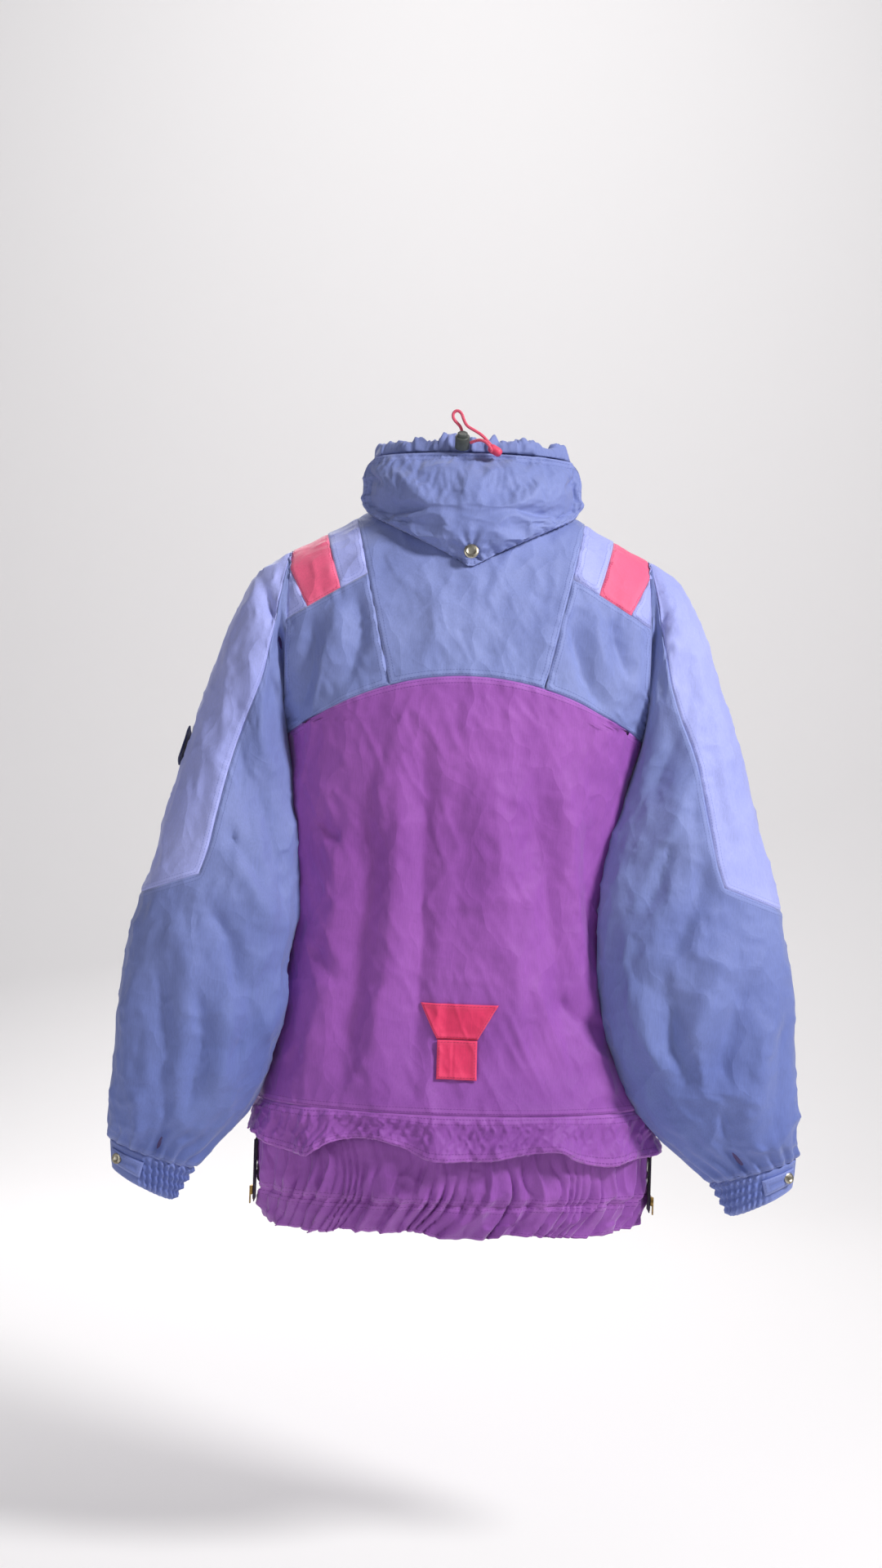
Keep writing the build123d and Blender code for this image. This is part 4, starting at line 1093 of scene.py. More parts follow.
def collar_grid(angle, z, out, relief):
    base = collar_point(angle, z, out)
    around, up = arc_length(base, 1), arc_length(base, 0)
    normal = collar_point(angle, z, out + 1) - base
    near = np.minimum.reduce([up, up[-1:] - up, around, around[:, -1:] - around])
    height = seam_dip(near) + relief * (crumple(base[..., 0], base[..., 1], z, 26, (1, 1, 1.4))
                                        + np.sin(around / 7 + 2 * smooth_random(around / 40, 1, 1)) * 0.3)
    height = height * smoothstep(-0.1, 0.2, near / 10)
    points = base + normal * height[..., None]
    return {"points": points,
            "attributes": {"edge_mm": near, "along_mm": around, "grain_u": around, "grain_v": up}}


finish_piece(cloth_piece("collar_shell", [collar_grid(angle, z, 0.0, 1.8)], 1.4), slate,
             "jacket",
             ["collar_shell"])
inner_collar = cloth_piece("collar_lining", [collar_grid(angles_round(12.0, 96.0, 220), z, -7.0, 1.6)], 1.2)
finish_piece(inner_collar, lining_cloth, "jacket", ["collar_padding"])

# the channel: cloth folded over the cord and drawn up into ruffles
angle = angles_round(14.0, 100.0, 620)
w = np.linspace(0, 1, 26)[:, None]
top_z = 50 + 14 * np.sin(np.pi * w) ** 0.75
out = -3.5 + 5.2 * np.cos(np.pi * w)
base = collar_point(angle, top_z, out)
around = arc_length(collar_point(angle, 55.0 + 0 * w, 0.0), 1)
swell = np.sin(np.pi * w) ** 0.5
ruffle = crease_random(around / 15 + 0.5 * smooth_random(around / 30, w, 2), w * 0.6, 3.0) - 0.32
fine = crease_random(around / 6.5, w * 1.2, 8.0) - 0.3
lift = (8.5 * ruffle + 3.0 * fine + 2.2 * smooth_random(around / 42, 0.5, 9.0)) * swell
outward = 7.0 * (crease_random(around / 13 + 7, w * 0.5, 5.0) - 0.3) * np.cos(np.pi * w) * (0.3 + 0.7 * swell)
points = base.copy()
points[..., 2] += lift
radial = collar_point(angle, top_z, out + 1) - base
points += radial * outward[..., None]
grid = {"points": points,
        "attributes": {"edge_mm": 900 + 0 * around * w, "along_mm": around, "grain_u": around,
                                         "grain_v": 60 * w + 0 * around}}
finish_piece(cloth_piece("drawcord_channel", [grid], 1.2, flip=True), slate, "jacket",
             ["drawcord_channel"])

# %% The stowed hood's pouch and flap
POUCH_SIDE = smooth_table([45, 38, 25, 5, -8, -18, -30, -45, -58, -67, -71.5],
                          [103, 110, 114, 115, 111, 101, 80, 51, 26, 11, 3])
POUCH_THICK = smooth_table([45, 38, 25, 8, -6, -16, -24, -45, -60, -71.5],
                           [3, 15, 29, 36, 35, 31, 27, 18, 10, 3])


def pouch_backing(x, z):
    """What the pouch lies against: the collar above the neck seam and the yoke below it."""
    collar = -50 + 64 * np.sqrt(np.clip(1 - (x / 119) ** 2, 0.0004, 1))
    a, b = half_width(z), half_depth(z)
    body = front_y(z) + b + b * np.sqrt(np.clip(1 - (x / a) ** 2, 0, 1))
    return np.where(z > NECK_Z, collar,
                    np.maximum(collar * smoothstep(-30, -8, z) + body * smoothstep(-8, -30, z),
                                                   body)) + 2.5


rows, cols = 96, 150
v = np.linspace(0, 1, rows)[:, None]
u = np.linspace(-1, 1, cols)[None]
z = -71.5 + 116.5 * v + 0 * u
z = z + 2.5 * np.cos(u * np.pi / 2) * smoothstep(0.85, 1.0, v)
x = POUCH_SIDE(z) * np.sin(u * np.pi / 2)
swell = np.sqrt(np.clip(1 - np.abs(u) ** 3.2, 0, 1))
depth = POUCH_THICK(z) * swell * np.minimum(1, 0.25 + 3 * np.minimum(v, 1 - v) + 0.0)
depth = np.maximum(depth, 0.6)
back_y = pouch_backing(x, z)
outer = np.stack([x, back_y + depth, z], -1)
inner = np.stack([x, back_y, z], -1)


def pillow(name, outer, inner):
    """Two matching grids, sewn together round their rim."""
    rows, cols = outer.shape[:2]
    index = np.arange(rows * cols).reshape(rows, cols)
    quads = np.stack([index[:-1, :-1], index[1:, :-1], index[1:, 1:], index[:-1, 1:]], -1).reshape(-1, 4)
    edges = np.concatenate([quads[:, [i, (i + 1) % 4]] for i in range(4)])
    key = np.sort(edges, 1)
    _, first, count = np.unique(key[:, 0] * rows * cols + key[:, 1], return_index=True, return_counts=True)
    rim = edges[first[count == 1]]
    n = rows * cols
    walls = np.stack([rim[:, 1], rim[:, 0], rim[:, 0] + n, rim[:, 1] + n], 1)
    mesh = bpy.data.meshes.new(name)
    mesh.from_pydata((np.concatenate([outer.reshape(-1, 3), inner.reshape(-1, 3)]) * MM).tolist(), [],
                     np.concatenate([quads, quads[:, ::-1] + n, walls]).tolist())
    mesh.polygons.foreach_set("use_smooth", np.ones(len(mesh.polygons), bool))
    piece = bpy.data.objects.new(name, mesh)
    bpy.context.scene.collection.objects.link(piece)
    return piece


def inflate(piece, pressure, frames, cap, pinned):
    """Cloth simulation with air inside; pinned gives how firmly each point is held, and cap is in metres."""
    rest = np.array([v.co for v in piece.data.vertices])
    group = piece.vertex_groups.new(name="held")
    for weight in np.unique(np.round(pinned, 1)):
        group.add(np.nonzero(np.round(pinned, 1) == weight)[0].tolist(), float(weight), "REPLACE")
    cloth = piece.modifiers.new("air", "CLOTH")
    settings = cloth.settings
    settings.quality = 6
    settings.mass = 0.15
    settings.tension_stiffness = settings.compression_stiffness = 12
    settings.shear_stiffness = 6
    settings.bending_stiffness = 0.4
    settings.use_pressure = True
    settings.uniform_pressure_force = pressure
    settings.vertex_group_mass = "held"
    settings.shrink_min = -0.04
    settings.effector_weights.gravity = 0
    scene = bpy.context.scene
    for number in range(1, frames + 1):
        scene.frame_set(number)
    shape = piece.evaluated_get(bpy.context.evaluated_depsgraph_get()).to_mesh()
    moved = np.array([v.co for v in shape.vertices])
    piece.modifiers.remove(cloth)
    piece.vertex_groups.clear()
    scene.frame_set(1)
    step = moved - rest
    size = np.linalg.norm(step, axis=1, keepdims=True)
    step *= np.minimum(1, cap / np.maximum(size, 1e-9))
    piece.data.vertices.foreach_set("co", (rest + step).astype(np.float32).ravel())
    piece.data.update()
    print(piece.name, "moved up to", round(float(np.linalg.norm(step, axis=1).max()) * 1000, 1), "mm")


pouch = pillow("hood_pouch_pillow", outer, inner)
rim = np.minimum(np.minimum(v, 1 - v) * 116, (1 - np.abs(u)) * 110)
hold = np.clip(1 - rim / 6, 0, 1) * 0.9
inflate(pouch, 3.0, 16, 0.010, np.concatenate([hold.ravel(), np.ones(hold.size)]))


def shape_pouch(piece):
    """Creases that spread from the snap and the gathered sides, and the fold where the flap begins."""
    co = np.array([p.co for p in piece.data.vertices]) * 1000
    n = rows * cols
    x, y, z = co[:n, 0], co[:n, 1], co[:n, 2]
    side = np.abs(np.broadcast_to(u, (rows, cols)).ravel())
    snap_gap = np.hypot(x, z + 58)
    lift = 2.6 * crumple(x, z * 0, z, 40, (1.3, 1, 0.9)) + 1.2 * crumple(x + 50, z * 0, z, 18, (1.2, 1, 1))
    lift += -1.6 * np.exp(-((z + 17 - 0.0012 * x**2) / 5) ** 2) * smoothstep(1.0, 0.8, side)
    lift += -5.0 * np.exp(-(snap_gap / 9) ** 2)
    turn = np.arctan2(z + 58, x)
    lift += 1.2 * np.sin(turn * 9 + 1) * np.exp(-(((snap_gap - 17) / 12) ** 2))
    gathers = crease_random(z / 12, 2.0, x / 90) - 0.35
    lift += 4.5 * gathers * smoothstep(0.72, 0.97, side) * smoothstep(-20, 0, z)
    top = crease_random(x / 13, 1.0, z / 50) - 0.35
    lift += 3.6 * top * smoothstep(28, 44, z)
    co[:n, 1] += lift * smoothstep(1.0, 0.93, side) * smoothstep(46, 43, z)
    scallop = 3.4 * gathers * smoothstep(0.8, 1.0, side) * smoothstep(-14, 2, z) * np.sign(x)
    co[:n, 0] += scallop
    co[n:, 0] += scallop
    piece.data.vertices.foreach_set("co", (co * MM).astype(np.float32).ravel())
    piece.data.update()
    grids = {"edge_mm": np.minimum(np.minimum(v, 1 - v) * 116, (1 - np.abs(u)) * 90),
             "along_mm": x.reshape(rows, cols)
             + z.reshape(rows, cols), "grain_u": x.reshape(rows, cols), "grain_v": z.reshape(rows, cols)}
    for key, value in grids.items():
        flat = np.broadcast_to(value, (rows, cols)).ravel()
        attribute = piece.data.attributes.new(key, "FLOAT", "POINT")
        attribute.data.foreach_set("value", np.concatenate([flat, flat]).astype(np.float32))


shape_pouch(pouch)
finish_piece(pouch, slate, None, ["hood_pouch", "rolled_hood", "hood_flap"])
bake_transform(pouch)

# %% [markdown]
# ## Tail patch, tab and badge
# Two coral pieces sit on the tail: a funnel-shaped patch sewn flat, and a tab that lifts. They are cut to
# the same folds as the cloth below them, a millimetre or two proud. The badge on the left sleeve is a plain
# six-sided patch.

# %% Patch and tab
def applied_piece(name, width_at, z_low, z_high, proud, cols, rows, body, node, crease=0.0):
    u = np.linspace(-1, 1, cols)[None]
    z = np.linspace(z_low, z_high, rows)[:, None] + 0 * u
    x = width_at(z) * u
    angle = np.arcsin(x / half_width(z))
    base = body_point(angle, z)
    normal = body_point(angle, z, 1.0) - base
    across, up = arc_length(base, 1), arc_length(base, 0)
    near = np.minimum.reduce([across, across[:, -1:] - across, up, up[-1:] - up])
    height = body_folds(angle, z, base, np.ones_like(z)) + proud
    height += 0.7 * np.exp(-(((near - 3) / 2) ** 2)) - 0.6 * np.exp(-((near / 1.0) ** 2))
    height += crease * np.exp(-(((x - 4) / 1.2) ** 2))
    points = base + normal * height[..., None]
    grid = {"points": points, "attributes": {"edge_mm": near, "along_mm": across + up, "grain_u": across,
                                             "grain_v": up}}
    return finish_piece(cloth_piece(name, [grid], 1.2), coral, body, [node])


applied_piece("tail_patch", lambda z: 20.5 + (z + 545) * 19 / 35, -545, -510, 2.0, 46, 22, "jacket",
              "tail_patch")
applied_piece("tail_tab", lambda z: 20 + 0 * z, -584, -545.5, 3.4, 34, 30, "tail_tab_body", "tail_tab", -0.8)

# %% Badge
points, _, s_grid = sleeve_forms["left"]
outer_z = arm_tables[1][3](np.linspace(0, 1, 400))
s_of_z = lambda z: np.interp(-z, -outer_z, np.linspace(0, 1, 400))
ring = np.linspace(0.001, 1, 16)[:, None]
turn = np.linspace(0, 2 * np.pi, 72, endpoint=False)[None]
corner = np.cos(np.pi / 6) / np.cos((turn + np.pi / 6) % (np.pi / 3) - np.pi / 6)
dy, dz = 20 * ring * corner * np.cos(turn), 20 * ring * corner * np.sin(turn)
s_at = s_of_z(-262 + dz)
phi_at = np.arcsin(np.clip((-2 + dy - arm_tables[1][5](s_at)) / arm_tables[1][4](s_at), -1, 1))
base = sleeve_point(s_at, phi_at, 0.0)
normal = sleeve_point(s_at, phi_at, 1.0) - base
rim_gap = 20 * (1 - ring) + 0 * turn
raised = 2.6 + 0.9 * smoothstep(2.6, 1.6, rim_gap) + 0.5 * smoothstep(10.5, 9.5, rim_gap)
points = base + normal * raised[..., None]
grid = {"points": points[:, ::-1], "around": True,
        "attributes": {"edge_mm": rim_gap[:, ::-1], "along_mm": (20 * ring * turn)[:, ::-1],
                       "grain_u": dy[:, ::-1], "grain_v": dz[:, ::-1]}}
badge_cloth = woven_cloth("Embroidered navy patch", "39406e", "2a3058", "1f2443", stitched=False,
                          roughness=0.7)
finish_piece(cloth_piece("sleeve_badge", [grid], 1.5), badge_cloth, "left_sleeve", ["sleeve_badge"])


# %% [markdown]
# ## Metal, plastic and tape
# The hard parts are small. Brass zips and nickel snaps catch the light, so their materials carry fine
# scratches and tarnish; the cord lock is moulded acetal with a faint grain; zip tape is a dark herringbone
# weave.

# %% Hard materials
def worn_metal(name, bright, tarnish, roughness):
    """Cast and plated metal: clear reflections, dulled in patches by handling."""
    material, shader = new_material(name, roughness, metallic=1.0)
    place = add_node(material, "ShaderNodeTexCoord")
    patch = add_node(material, "ShaderNodeTexNoise", {"Scale": 260.0, "Detail": 4.0},
                     [("Vector", place, "Object")])
    colour = ramp(material, patch, "Fac", [(0.35, linear(tarnish)), (0.6, linear(bright))])
    rough = add_node(material, "ShaderNodeMapRange", {"To Min": roughness + 0.18, "To Max": roughness - 0.05},
                     [("Value", patch, "Fac")])
    scratch = add_node(material, "ShaderNodeMapping", {"Scale": (4000, 500, 4000)},
                       [("Vector", place, "Object")])
    lines = add_node(material, "ShaderNodeTexNoise", {"Scale": 1.0}, [("Vector", scratch, "Vector")])
    bump = add_node(material, "ShaderNodeBump", {"Strength": 0.12, "Distance": 0.0001},
                    [("Height", lines, "Fac")])
    links = material.node_tree.links
    links.new(colour.outputs["Color"], shader.inputs["Base Color"])
    links.new(rough.outputs["Result"], shader.inputs["Roughness"])
    links.new(bump.outputs["Normal"], shader.inputs["Normal"])
    return material


def moulded_plastic(name, colour, dark, roughness=0.42):
    """Acetal from a spark-eroded mould: even, slightly waxy, with a fine grain."""
    material, shader = new_material(name, roughness)
    shader.inputs["IOR"].default_value = 1.48
    place = add_node(material, "ShaderNodeTexCoord")
    grain = add_node(material, "ShaderNodeTexNoise", {"Scale": 1800.0, "Detail": 3.0},
                     [("Vector", place, "Object")])
    cloud = add_node(material, "ShaderNodeTexNoise", {"Scale": 120.0}, [("Vector", place, "Object")])
    tint = ramp(material, cloud, "Fac", [(0.3, linear(dark)), (0.7, linear(colour))])
    bump = add_node(material, "ShaderNodeBump", {"Strength": 0.25, "Distance": 0.00012},
                    [("Height", grain, "Fac")])
    material.node_tree.links.new(tint.outputs["Color"], shader.inputs["Base Color"])
    material.node_tree.links.new(bump.outputs["Normal"], shader.inputs["Normal"])
    return material


def herringbone_tape(name, light, dark):
    """Woven tape; its slanting ribs are really 0.6 mm apart and are drawn at 1.4 mm."""
    material, shader = new_material(name, 0.75, sheen=0.15)
    place = add_node(material, "ShaderNodeTexCoord")
    split = add_node(material, "ShaderNodeSeparateXYZ", links=[("Vector", place, "Object")])
    fold = add_node(material, "ShaderNodeMath", {"operation": "PINGPONG", 1: 0.0028}, [(0, split, "X")])
    slant = add_node(material, "ShaderNodeMath", {"operation": "ADD"}, [(0, fold, "Value"), (1, split, "Z")])
    turn = add_node(material, "ShaderNodeMath", {"operation": "MULTIPLY", 1: 2 * math.pi / 0.0014},
                    [(0, slant, "Value")])
    rib = add_node(material, "ShaderNodeMath", {"operation": "SINE"}, [(0, turn, "Value")])
    level_out = add_node(material, "ShaderNodeMapRange", {"From Min": -1.0, "From Max": 1.0},
                         [("Value", rib, "Value")])
    colour = ramp(material, level_out, "Result", [(0.2, linear(dark)), (0.8, linear(light))])
    bump = add_node(material, "ShaderNodeBump", {"Strength": 0.5, "Distance": 0.0003},
                    [("Height", level_out, "Result")])
    material.node_tree.links.new(colour.outputs["Color"], shader.inputs["Base Color"])
    material.node_tree.links.new(bump.outputs["Normal"], shader.inputs["Normal"])
    return material


brass = worn_metal("Aged cast brass", "c9a664", "7d6338", 0.34)
nickel = worn_metal("Nickel-plated snap steel", "d2cdbd", "8f8672", 0.28)
spring_steel = worn_metal("Drawn spring steel", "b9bcc2", "84878e", 0.3)
acetal = moulded_plastic("Moulded grey-green acetal", "565c57", "3e4440")
tape = herringbone_tape("Woven zip tape", "3b2a4a", "241932")


def give(node, material):
    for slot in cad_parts[node].material_slots:
        slot.material = material


for node in ("zip_bottom_box", "zip_slider", "zip_pull", "pocket_slider_left", "pocket_slider_right",
             "pocket_pull_left", "pocket_pull_right", "side_zip_slider_left", "side_zip_slider_right"):
    give(node, brass)
for node in ("zip_tapes", "side_zips", "pocket_zips"):
    give(node, tape)
give("yoke_snap_stud", nickel)
give("cord_lock_spring", spring_steel)

# %% [markdown]
# ## Snaps
# A snap's cap is pressed from sheet: a low dome with a rolled rim and a shallow dish. It could be spun from
# a profile; here a cylinder is inset and pushed in edit mode, which keeps the rim's width easy to judge.

# %% Snap caps
def only(piece):
    bpy.ops.object.select_all(action="DESELECT")
    piece.select_set(True)
    bpy.context.view_layer.objects.active = piece


def select_faces(piece, wanted):
    """In edit mode: selects the faces for which wanted(centre, normal) is true."""
    mesh = bmesh.from_edit_mesh(piece.data)
    for face in mesh.faces:
        face.select_set(bool(wanted(face.calc_center_median(), face.normal)))
    bmesh.update_edit_mesh(piece.data)


def settle(piece, centre, axis):
    """Turns a piece made along +Z to its axis, moves it into place and leaves the object at the origin."""
    only(piece)
    piece.rotation_euler = Vector(axis).to_track_quat("Z", "Y").to_euler()
    piece.location = centre
    bpy.ops.object.transform_apply(location=True, rotation=True, scale=True)


def bevelled(piece, width, segments=3):
    only(piece)
    modifier = piece.modifiers.new("edges", "BEVEL")
    modifier.width, modifier.segments, modifier.limit_method = width, segments, "ANGLE"
    modifier.angle_limit = math.radians(25)
    bpy.ops.object.modifier_apply(modifier=modifier.name)
    bpy.ops.object.shade_smooth_by_angle(angle=math.radians(35))


def snap_cap(name, node, centre, axis, radius, body):
    bpy.ops.object.select_all(action="DESELECT")
    bpy.ops.mesh.primitive_cylinder_add(vertices=56, radius=radius, depth=0.0022, location=(0, 0, 0.0011))
    cap = bpy.context.object
    cap.name = name
    bpy.ops.object.mode_set(mode="EDIT")
    select_faces(cap, lambda c, n: n.z > 0.9)
    bpy.ops.mesh.inset(thickness=radius * 0.16, depth=0.0007)
    bpy.ops.mesh.inset(thickness=radius * 0.22, depth=0.0003)
    bpy.ops.mesh.inset(thickness=radius * 0.12, depth=-0.0004)
    bpy.ops.mesh.inset(thickness=radius * 0.2, depth=-0.0002)
    bpy.ops.object.mode_set(mode="OBJECT")
    bevelled(cap, 0.0003)
    settle(cap, centre, axis)
    cap.data.materials.append(nickel)
    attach(cap, body)
    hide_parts(node)
    print(name, len(cap.data.polygons), "faces")


def middle_of(node):
    low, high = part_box(node)
    return (Vector(low) + Vector(high)) / 2


snap_place = middle_of("hood_flap_snap")
snap_cap("hood_snap_cap", "hood_flap_snap", snap_place + Vector((0, -0.0015, 0)), (0, 0.97, 0.24), 0.0075,
         "hood_closure")
for side, word in ((1, "left"), (-1, "right")):
    place = middle_of(f"cuff_snap_{word}")
    snap_cap(f"cuff_snap_cap_{word}", f"cuff_snap_{word}", place, (0.436 * side, 0.883, 0.174), 0.0056,
             f"{word}_cuff_tab")

# %% [markdown]
# ## Zip chains
# A chain is two rows of teeth that mesh. One tooth is modelled and an Array modifier repeats it along the
# tape, half a step apart on the two sides, as the teeth of a closed zip sit.

# %% Teeth
def tooth_row(name, start, step, count, across, out, size, shift):
    """A row of bevelled teeth from start, each a step on; across and out are the chain's own directions."""
    bpy.ops.object.select_all(action="DESELECT")
    bpy.ops.mesh.primitive_cube_add(size=1, location=(0, 0, 0))
    tooth = bpy.context.object
    tooth.name = name
    tooth.scale = size
    bpy.ops.object.transform_apply(scale=True)
    bpy.ops.object.mode_set(mode="EDIT")
    select_faces(tooth, lambda c, n: n.x < -0.9)
    bpy.ops.transform.resize(value=(1, 0.8, 0.55))
    bpy.ops.object.mode_set(mode="OBJECT")
    bevelled(tooth, min(size) * 0.18, 1)
    up = Vector(step).normalized()
    turn = Matrix((across, Vector(out).normalized(), up)).transposed().to_4x4()
    tooth.data.transform(turn)
    tooth.data.transform(Matrix.Translation(Vector(start) + Vector(shift)))
    only(tooth)
    array = tooth.modifiers.new("row", "ARRAY")
    array.use_relative_offset = False
    array.use_constant_offset = True
    array.constant_offset_displace = step
    array.count = count
    bpy.ops.object.modifier_apply(modifier=array.name)
    return tooth


def zip_chain(name, start, direction, across, out, length, pitch, size, body, replaced):
    """Two meshing rows of teeth from start along direction; out faces the way the chain is seen."""
    direction, across, out = (Vector(v).normalized() for v in (direction, across, out))
    rows = []
    for hand in (1, -1):
        begin = Vector(start) + direction * (pitch / 2 * (hand < 0))
        rows.append(tooth_row(f"{name}_{hand}", begin, direction * pitch, int(length / pitch) - 1,
                              across * hand,
                              out, size, across * (hand * size[0] * 0.32)))
    only(rows[0])
    rows[1].select_set(True)
    bpy.ops.object.join()
    chain = rows[0]
    chain.name = name
    bpy.ops.object.mode_set(mode="EDIT")
    bpy.ops.mesh.select_all(action="SELECT")
    bpy.ops.mesh.normals_make_consistent(inside=False)
    bpy.ops.object.mode_set(mode="OBJECT")
    chain.data.materials.clear()
    chain.data.materials.append(brass)
    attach(chain, body)
    if replaced:
        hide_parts(*replaced)
    print(name, len(chain.data.polygons), "faces")


FRONT_UP = Vector((0, 0.034, 1)).normalized()
FRONT_OUT = Vector((0, -1, 0.034)).normalized()
FRONT_START = Vector((0, -0.11173, 0))
zip_chain("zip_teeth", FRONT_START + FRONT_UP * -0.639 + FRONT_OUT * -0.0026, FRONT_UP, (1, 0, 0), FRONT_OUT,
          0.682,
          0.0028, (0.0034, 0.0040, 0.0015), "jacket", ["zip_chain"])
for side, word in ((1, "left"), (-1, "right")):
    down = Vector((0.190287 * side, 0.119975, -0.97437))
    out = Vector((0.533336 * side, -0.845903, 0))
    across = Vector((0.824223 * side, 0.519667, 0.224951))
    start = Vector((0.108 * side, -0.09847, -0.455)) - down * 0.0655
    zip_chain(f"pocket_teeth_{word}", start + out * -0.0006, down, across, out, 0.131, 0.0024,
              (0.0026, 0.0028, 0.0013), "jacket", [])
    low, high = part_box("side_zips")
    zip_chain(f"side_zip_teeth_{word}", Vector((high[0] * side - 0.0010 * side, -0.012, -0.727)), (0, 0, 1),
              (0, 1, 0),
              (side, 0, 0), 0.060, 0.0026, (0.0026, 0.0024, 0.0013), "jacket", [])

# %% [markdown]
# ## Pocket welts, draft flap and hanging loop
# Small sewn strips: each pocket mouth has two rounded lips, a flap of lining backs the main zip, and a tape
# loop at the neck takes a hook.

# %% Welts
def strip_grid(points):
    across, along = arc_length(points, 1), arc_length(points, 0)
    near = np.minimum(np.minimum(across, across[:, -1:] - across), np.minimum(along, along[-1:] - along))
    return {"points": points, "attributes": {"edge_mm": near + 1.2, "along_mm": along, "grain_u": across,
                                             "grain_v": along}}


def pocket_lip(side, hand):
    down, across, out = POCKET_AXES
    length = np.linspace(-76, 76, 110)[:, None]
    w = np.linspace(0, 1, 18)[None]
    offset = (3.4 + 8.2 * w) * hand
    rise = 3.2 * np.sin(np.pi * (0.12 + 0.86 * w)) ** 0.6 - 1.0 + 0.35 * smooth_random(length / 6, hand,
                                                                                       w * 2)
    rise = rise - 1.8 * smoothstep(66, 76, np.abs(length))
    points = POCKET_ORIGIN + length[..., None] * down + offset[..., None] * across + rise[..., None] * out
    points[..., 0] *= side
    return points if hand * side > 0 else points[:, ::-1]


welts = [strip_grid(pocket_lip(side, hand)) for side in (1, -1) for hand in (1, -1)]
finish_piece(cloth_piece("pocket_welts", welts, 1.4), purple, "jacket", ["pocket_welts"])

# %% Draft flap and hanging loop
height = np.linspace(-648, 42, 180)[:, None]
across = np.linspace(-18, 18, 14)[None]
back = 7.6 + 1.2 * smooth_random(across / 14, height / 60, 3.0)
flap = np.stack([across + 0 * height, FRONT_START.y * 1000 + height * 0.034 + back, height + 0 * across], -1)
finish_piece(cloth_piece("draft_flap", [strip_grid(flap)], 1.2), lining_cloth, "jacket",
             ["draft_flap"])

path = [(-21, -15), (-21, -8), (-21, -1), (-20, 2.2), (-17, 3.4), (-10, 3.3), (0, 3.1), (10, 3.3), (17, 3.4),
        (20, 2.2), (21, -1), (21, -8), (21, -15)]
along = np.linspace(0, len(path) - 1, 90)
px = np.interp(along, range(len(path)), [p[0] for p in path])
pz = np.interp(along, range(len(path)), [p[1] for p in path])
dx, dz = np.gradient(px), np.gradient(pz)
size = np.hypot(dx, dz)
side_w = np.linspace(-2.9, 2.9, 8)[None]
loop = np.stack([px[:, None] - dz[:, None] / size[:, None] * side_w,
                 0.5 * smooth_random(px[:, None] / 9, 1, side_w / 9)
                 + 0 * side_w, pz[:, None] + dx[:, None] / size[:, None] * side_w], -1)
finish_piece(cloth_piece("hanging_loop", [strip_grid(loop)], 1.1), tape, "jacket", ["hanging_loop"])

# %% [markdown]
# ## Drawcord
# A thin braided cord comes out of the channel, loops up through its lock and ends in a moulded bead. Each
# strand is a smooth curve along the same route as the solid it stands for.

# %% Cord lock and bead
def turned_piece(name, radius, depth, rings, material, centre, axis, body, nodes, bevel=0.0007):
    """A cylinder pulled into a profile: rings lists (inset, depth) pairs worked at both ends."""
    bpy.ops.object.select_all(action="DESELECT")
    bpy.ops.mesh.primitive_cylinder_add(vertices=40, radius=radius, depth=depth, location=(0, 0, 0))
    piece = bpy.context.object
    piece.name = name
    bpy.ops.object.mode_set(mode="EDIT")
    for end in (1, -1):
        select_faces(piece, lambda c, n: n.z * end > 0.9 and abs(c.z) > depth / 2 - 1e-5)
        for inset, push in rings:
            bpy.ops.mesh.inset(thickness=inset, depth=push)
    bpy.ops.object.mode_set(mode="OBJECT")
    bevelled(piece, bevel)
    settle(piece, centre, axis)
    piece.data.materials.append(material)
    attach(piece, body)
    if nodes:
        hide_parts(*nodes)
    print(name, len(piece.data.polygons), "faces")
    return piece


LOCK_CENTRE, LOCK_AXIS = Vector((0.012, 0.021, 0.058)), Vector((0, 0.6, 0.8))
turned_piece("cord_lock_body", 0.0075, 0.0128, [(0.0009, 0.0005)], acetal, LOCK_CENTRE, LOCK_AXIS,
             "jacket",
             ["cord_lock_barrel"])
turned_piece("cord_lock_push", 0.0053, 0.0072, [(0.0012, 0.0004), (0.001, -0.0003)], acetal,
             LOCK_CENTRE + LOCK_AXIS * 0.0066, LOCK_AXIS, "lock_button", ["cord_lock_button"])
bead_material = moulded_plastic("Moulded coral vinyl", "ee5070", "d13d5e", 0.5)
bead_axis = Vector((math.sin(math.radians(60)), 0, math.cos(math.radians(60))))
bead = turned_piece("cord_bead", 0.0047, 0.0085, [(0.0011, 0.0021), (0.0013, 0.0011)], bead_material,
                    middle_of("cord_end"), bead_axis, "jacket", ["cord_end"], 0.0009)

# %% Cords
CORD_DIAMETER = 0.0032
LOOP_ROUTE = [
    (0.0125, 0.0210, 0.0676), (0.0136, 0.0205, 0.0730), (0.0180, 0.0200, 0.0775), (0.0220, 0.0200, 0.0816),
    (0.0226, 0.0203, 0.0872), (0.0184, 0.0209, 0.0906), (0.0136, 0.0223, 0.0874), (0.0114, 0.0246, 0.0804),
    (0.0080, 0.0265, 0.0735), (0.0005, 0.0275, 0.0695), (-0.0080, 0.0280, 0.0645), (-0.0145, 0.0278, 0.0575),
    (-0.0185, 0.0273, 0.0532),
]
SHORT_ROUTE = [(0.0036, 0.0240, 0.0570), (-0.0036, 0.0295, 0.0598), (-0.0112, 0.0332, 0.0576),
               (-0.0166, 0.0334, 0.0520), (-0.0184, 0.0286, 0.0474)]


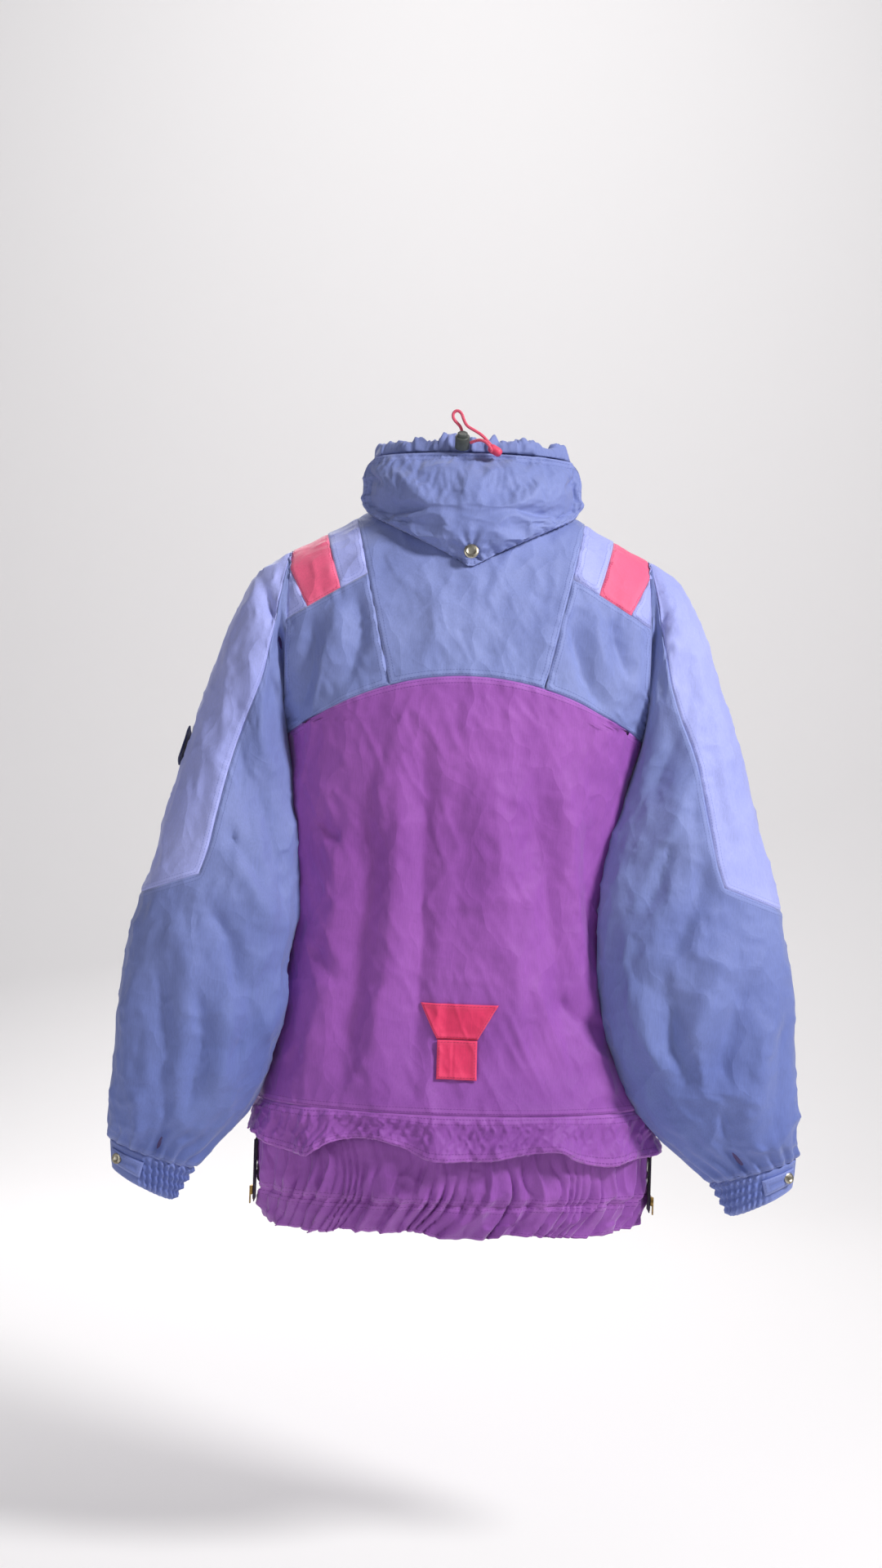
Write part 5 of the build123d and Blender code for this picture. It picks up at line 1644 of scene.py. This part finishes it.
def braided(name, light, dark):
    """Round braid of polyester: two sets of slanting strands, each about 0.8 mm wide, crossing."""
    material, shader = new_material(name, 0.6, sheen=0.2)
    place = add_node(material, "ShaderNodeTexCoord")
    waves = []
    for slant in (1, -1):
        turned = add_node(material, "ShaderNodeMapping", {"Rotation": (0.5 * slant, 0.9 * slant, 0.7)},
                          [("Vector", place, "Object")])
        waves.append(add_node(material, "ShaderNodeTexWave", {"Scale": 200.0, "Distortion": 0.6},
                              [("Vector", turned, "Vector")]))
    both = add_node(material, "ShaderNodeMath", {"operation": "MAXIMUM"},
                    [(0, waves[0], "Fac"), (1, waves[1], "Fac")])
    colour = ramp(material, both, "Value", [(0.2, linear(dark)), (0.8, linear(light))])
    bump = add_node(material, "ShaderNodeBump", {"Strength": 0.6, "Distance": 0.0004},
                    [("Height", both, "Value")])
    material.node_tree.links.new(colour.outputs["Color"], shader.inputs["Base Color"])
    material.node_tree.links.new(bump.outputs["Normal"], shader.inputs["Normal"])
    return material


cord_braid = braided("Braided coral cord", "f0607c", "b83152")


def drawcord(name, route, node):
    curve = bpy.data.curves.new(name, "CURVE")
    curve.dimensions = "3D"
    curve.bevel_depth = CORD_DIAMETER / 2
    curve.bevel_resolution = 5
    curve.resolution_u = 14
    curve.use_fill_caps = True
    spline = curve.splines.new("NURBS")
    spline.points.add(len(route) - 1)
    for point, place in zip(spline.points, route):
        point.co = (*place, 1)
    spline.order_u = 3
    spline.use_endpoint_u = True
    cord = bpy.data.objects.new(name, curve)
    bpy.context.scene.collection.objects.link(cord)
    curve.materials.append(cord_braid)
    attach(cord, "jacket")
    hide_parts(node)
    bare = curve.copy()
    bare.bevel_depth = 0
    probe = bpy.data.objects.new("probe", bare)
    line = bpy.data.meshes.new_from_object(probe)
    places = [v.co for v in line.vertices]
    length = sum((b - a).length for a, b in zip(places, places[1:]))
    bpy.data.objects.remove(probe)
    bpy.data.meshes.remove(line)
    bpy.data.curves.remove(bare)
    print(name, "is", round(length * 1000, 1), "mm long")
    return cord, length


loop_cord, loop_length = drawcord("cord_loop_strand", LOOP_ROUTE, "cord_loop")
short_cord, short_length = drawcord("cord_short_strand", SHORT_ROUTE, "cord_short")


# %% [markdown]
# ## Light, floor and camera
# A pale floor and broad soft lamps, so that the colours read plainly and folds still cast gentle shade.

# %% Stage
FLOOR_Z = -1.14
SWEEP_RADIUS = 1.2


def stage_sweep():
    """A pale floor that curves up into a backdrop."""
    profile = [(6.0, 0.0), (-2.2, 0.0)]
    for turn in np.linspace(0.1, math.pi / 2, 14):
        profile.append((-2.2 - SWEEP_RADIUS * math.sin(turn), SWEEP_RADIUS * (1 - math.cos(turn))))
    profile.append((-2.2 - SWEEP_RADIUS, 6.0))
    verts = [(x, y, z + FLOOR_Z) for y, z in profile for x in (-7.0, 7.0)]
    faces = [(2 * i, 2 * i + 2, 2 * i + 3, 2 * i + 1) for i in range(len(profile) - 1)]
    mesh = bpy.data.meshes.new("backdrop")
    mesh.from_pydata(verts, [], faces)
    mesh.polygons.foreach_set("use_smooth", [True] * len(faces))
    backdrop = bpy.data.objects.new("backdrop", mesh)
    bpy.context.scene.collection.objects.link(backdrop)
    material, shader = new_material("Pale studio paper", 0.92)
    shader.inputs["Base Color"].default_value = linear("f0eeee")
    mesh.materials.append(material)


def area_light(name, place, target, size, power):
    data = bpy.data.lights.new(name, "AREA")
    data.shape, data.size, data.energy = "DISK", size, power
    light = bpy.data.objects.new(name, data)
    light.location = place
    light.rotation_euler = (Vector(target) - Vector(place)).to_track_quat("-Z", "Y").to_euler()
    bpy.context.scene.collection.objects.link(light)


stage_sweep()
world = bpy.data.worlds.new("Pale room")
bpy.context.scene.world = world
world.use_nodes = True
world.node_tree.nodes["Background"].inputs["Color"].default_value = linear("f2f1f6")
world.node_tree.nodes["Background"].inputs["Strength"].default_value = 0.22
area_light("key", (-1.75, 1.35, 1.25), (0, 0, -0.35), 0.6, 72)
area_light("fill", (2.1, 2.2, 0.2), (0, 0, -0.4), 1.4, 14)
area_light("front", (0.6, -2.4, 0.8), (0, 0, -0.35), 1.8, 30)
area_light("backdrop", (0, -1.4, 2.2), (0, -3.2, 0.2), 2.4, 36)

VIEW_ROLL = math.radians(1.7)          # the jacket hangs a touch off plumb
camera_data = bpy.data.cameras.new("camera")
camera = bpy.data.objects.new("camera", camera_data)
camera_data.lens = 50.3
camera_data.sensor_fit = "VERTICAL"
camera_data.sensor_height = 36
camera.location = (0.0235, 2.26, -0.292)
camera.rotation_euler = (Matrix.Rotation(math.pi, 4, "Z") @ Matrix.Rotation(math.pi / 2, 4, "X")
                         @ Matrix.Rotation(VIEW_ROLL, 4, "Z")).to_euler()
bpy.context.scene.collection.objects.link(camera)
bpy.context.scene.camera = camera
bpy.context.scene.view_settings.view_transform = "Standard"
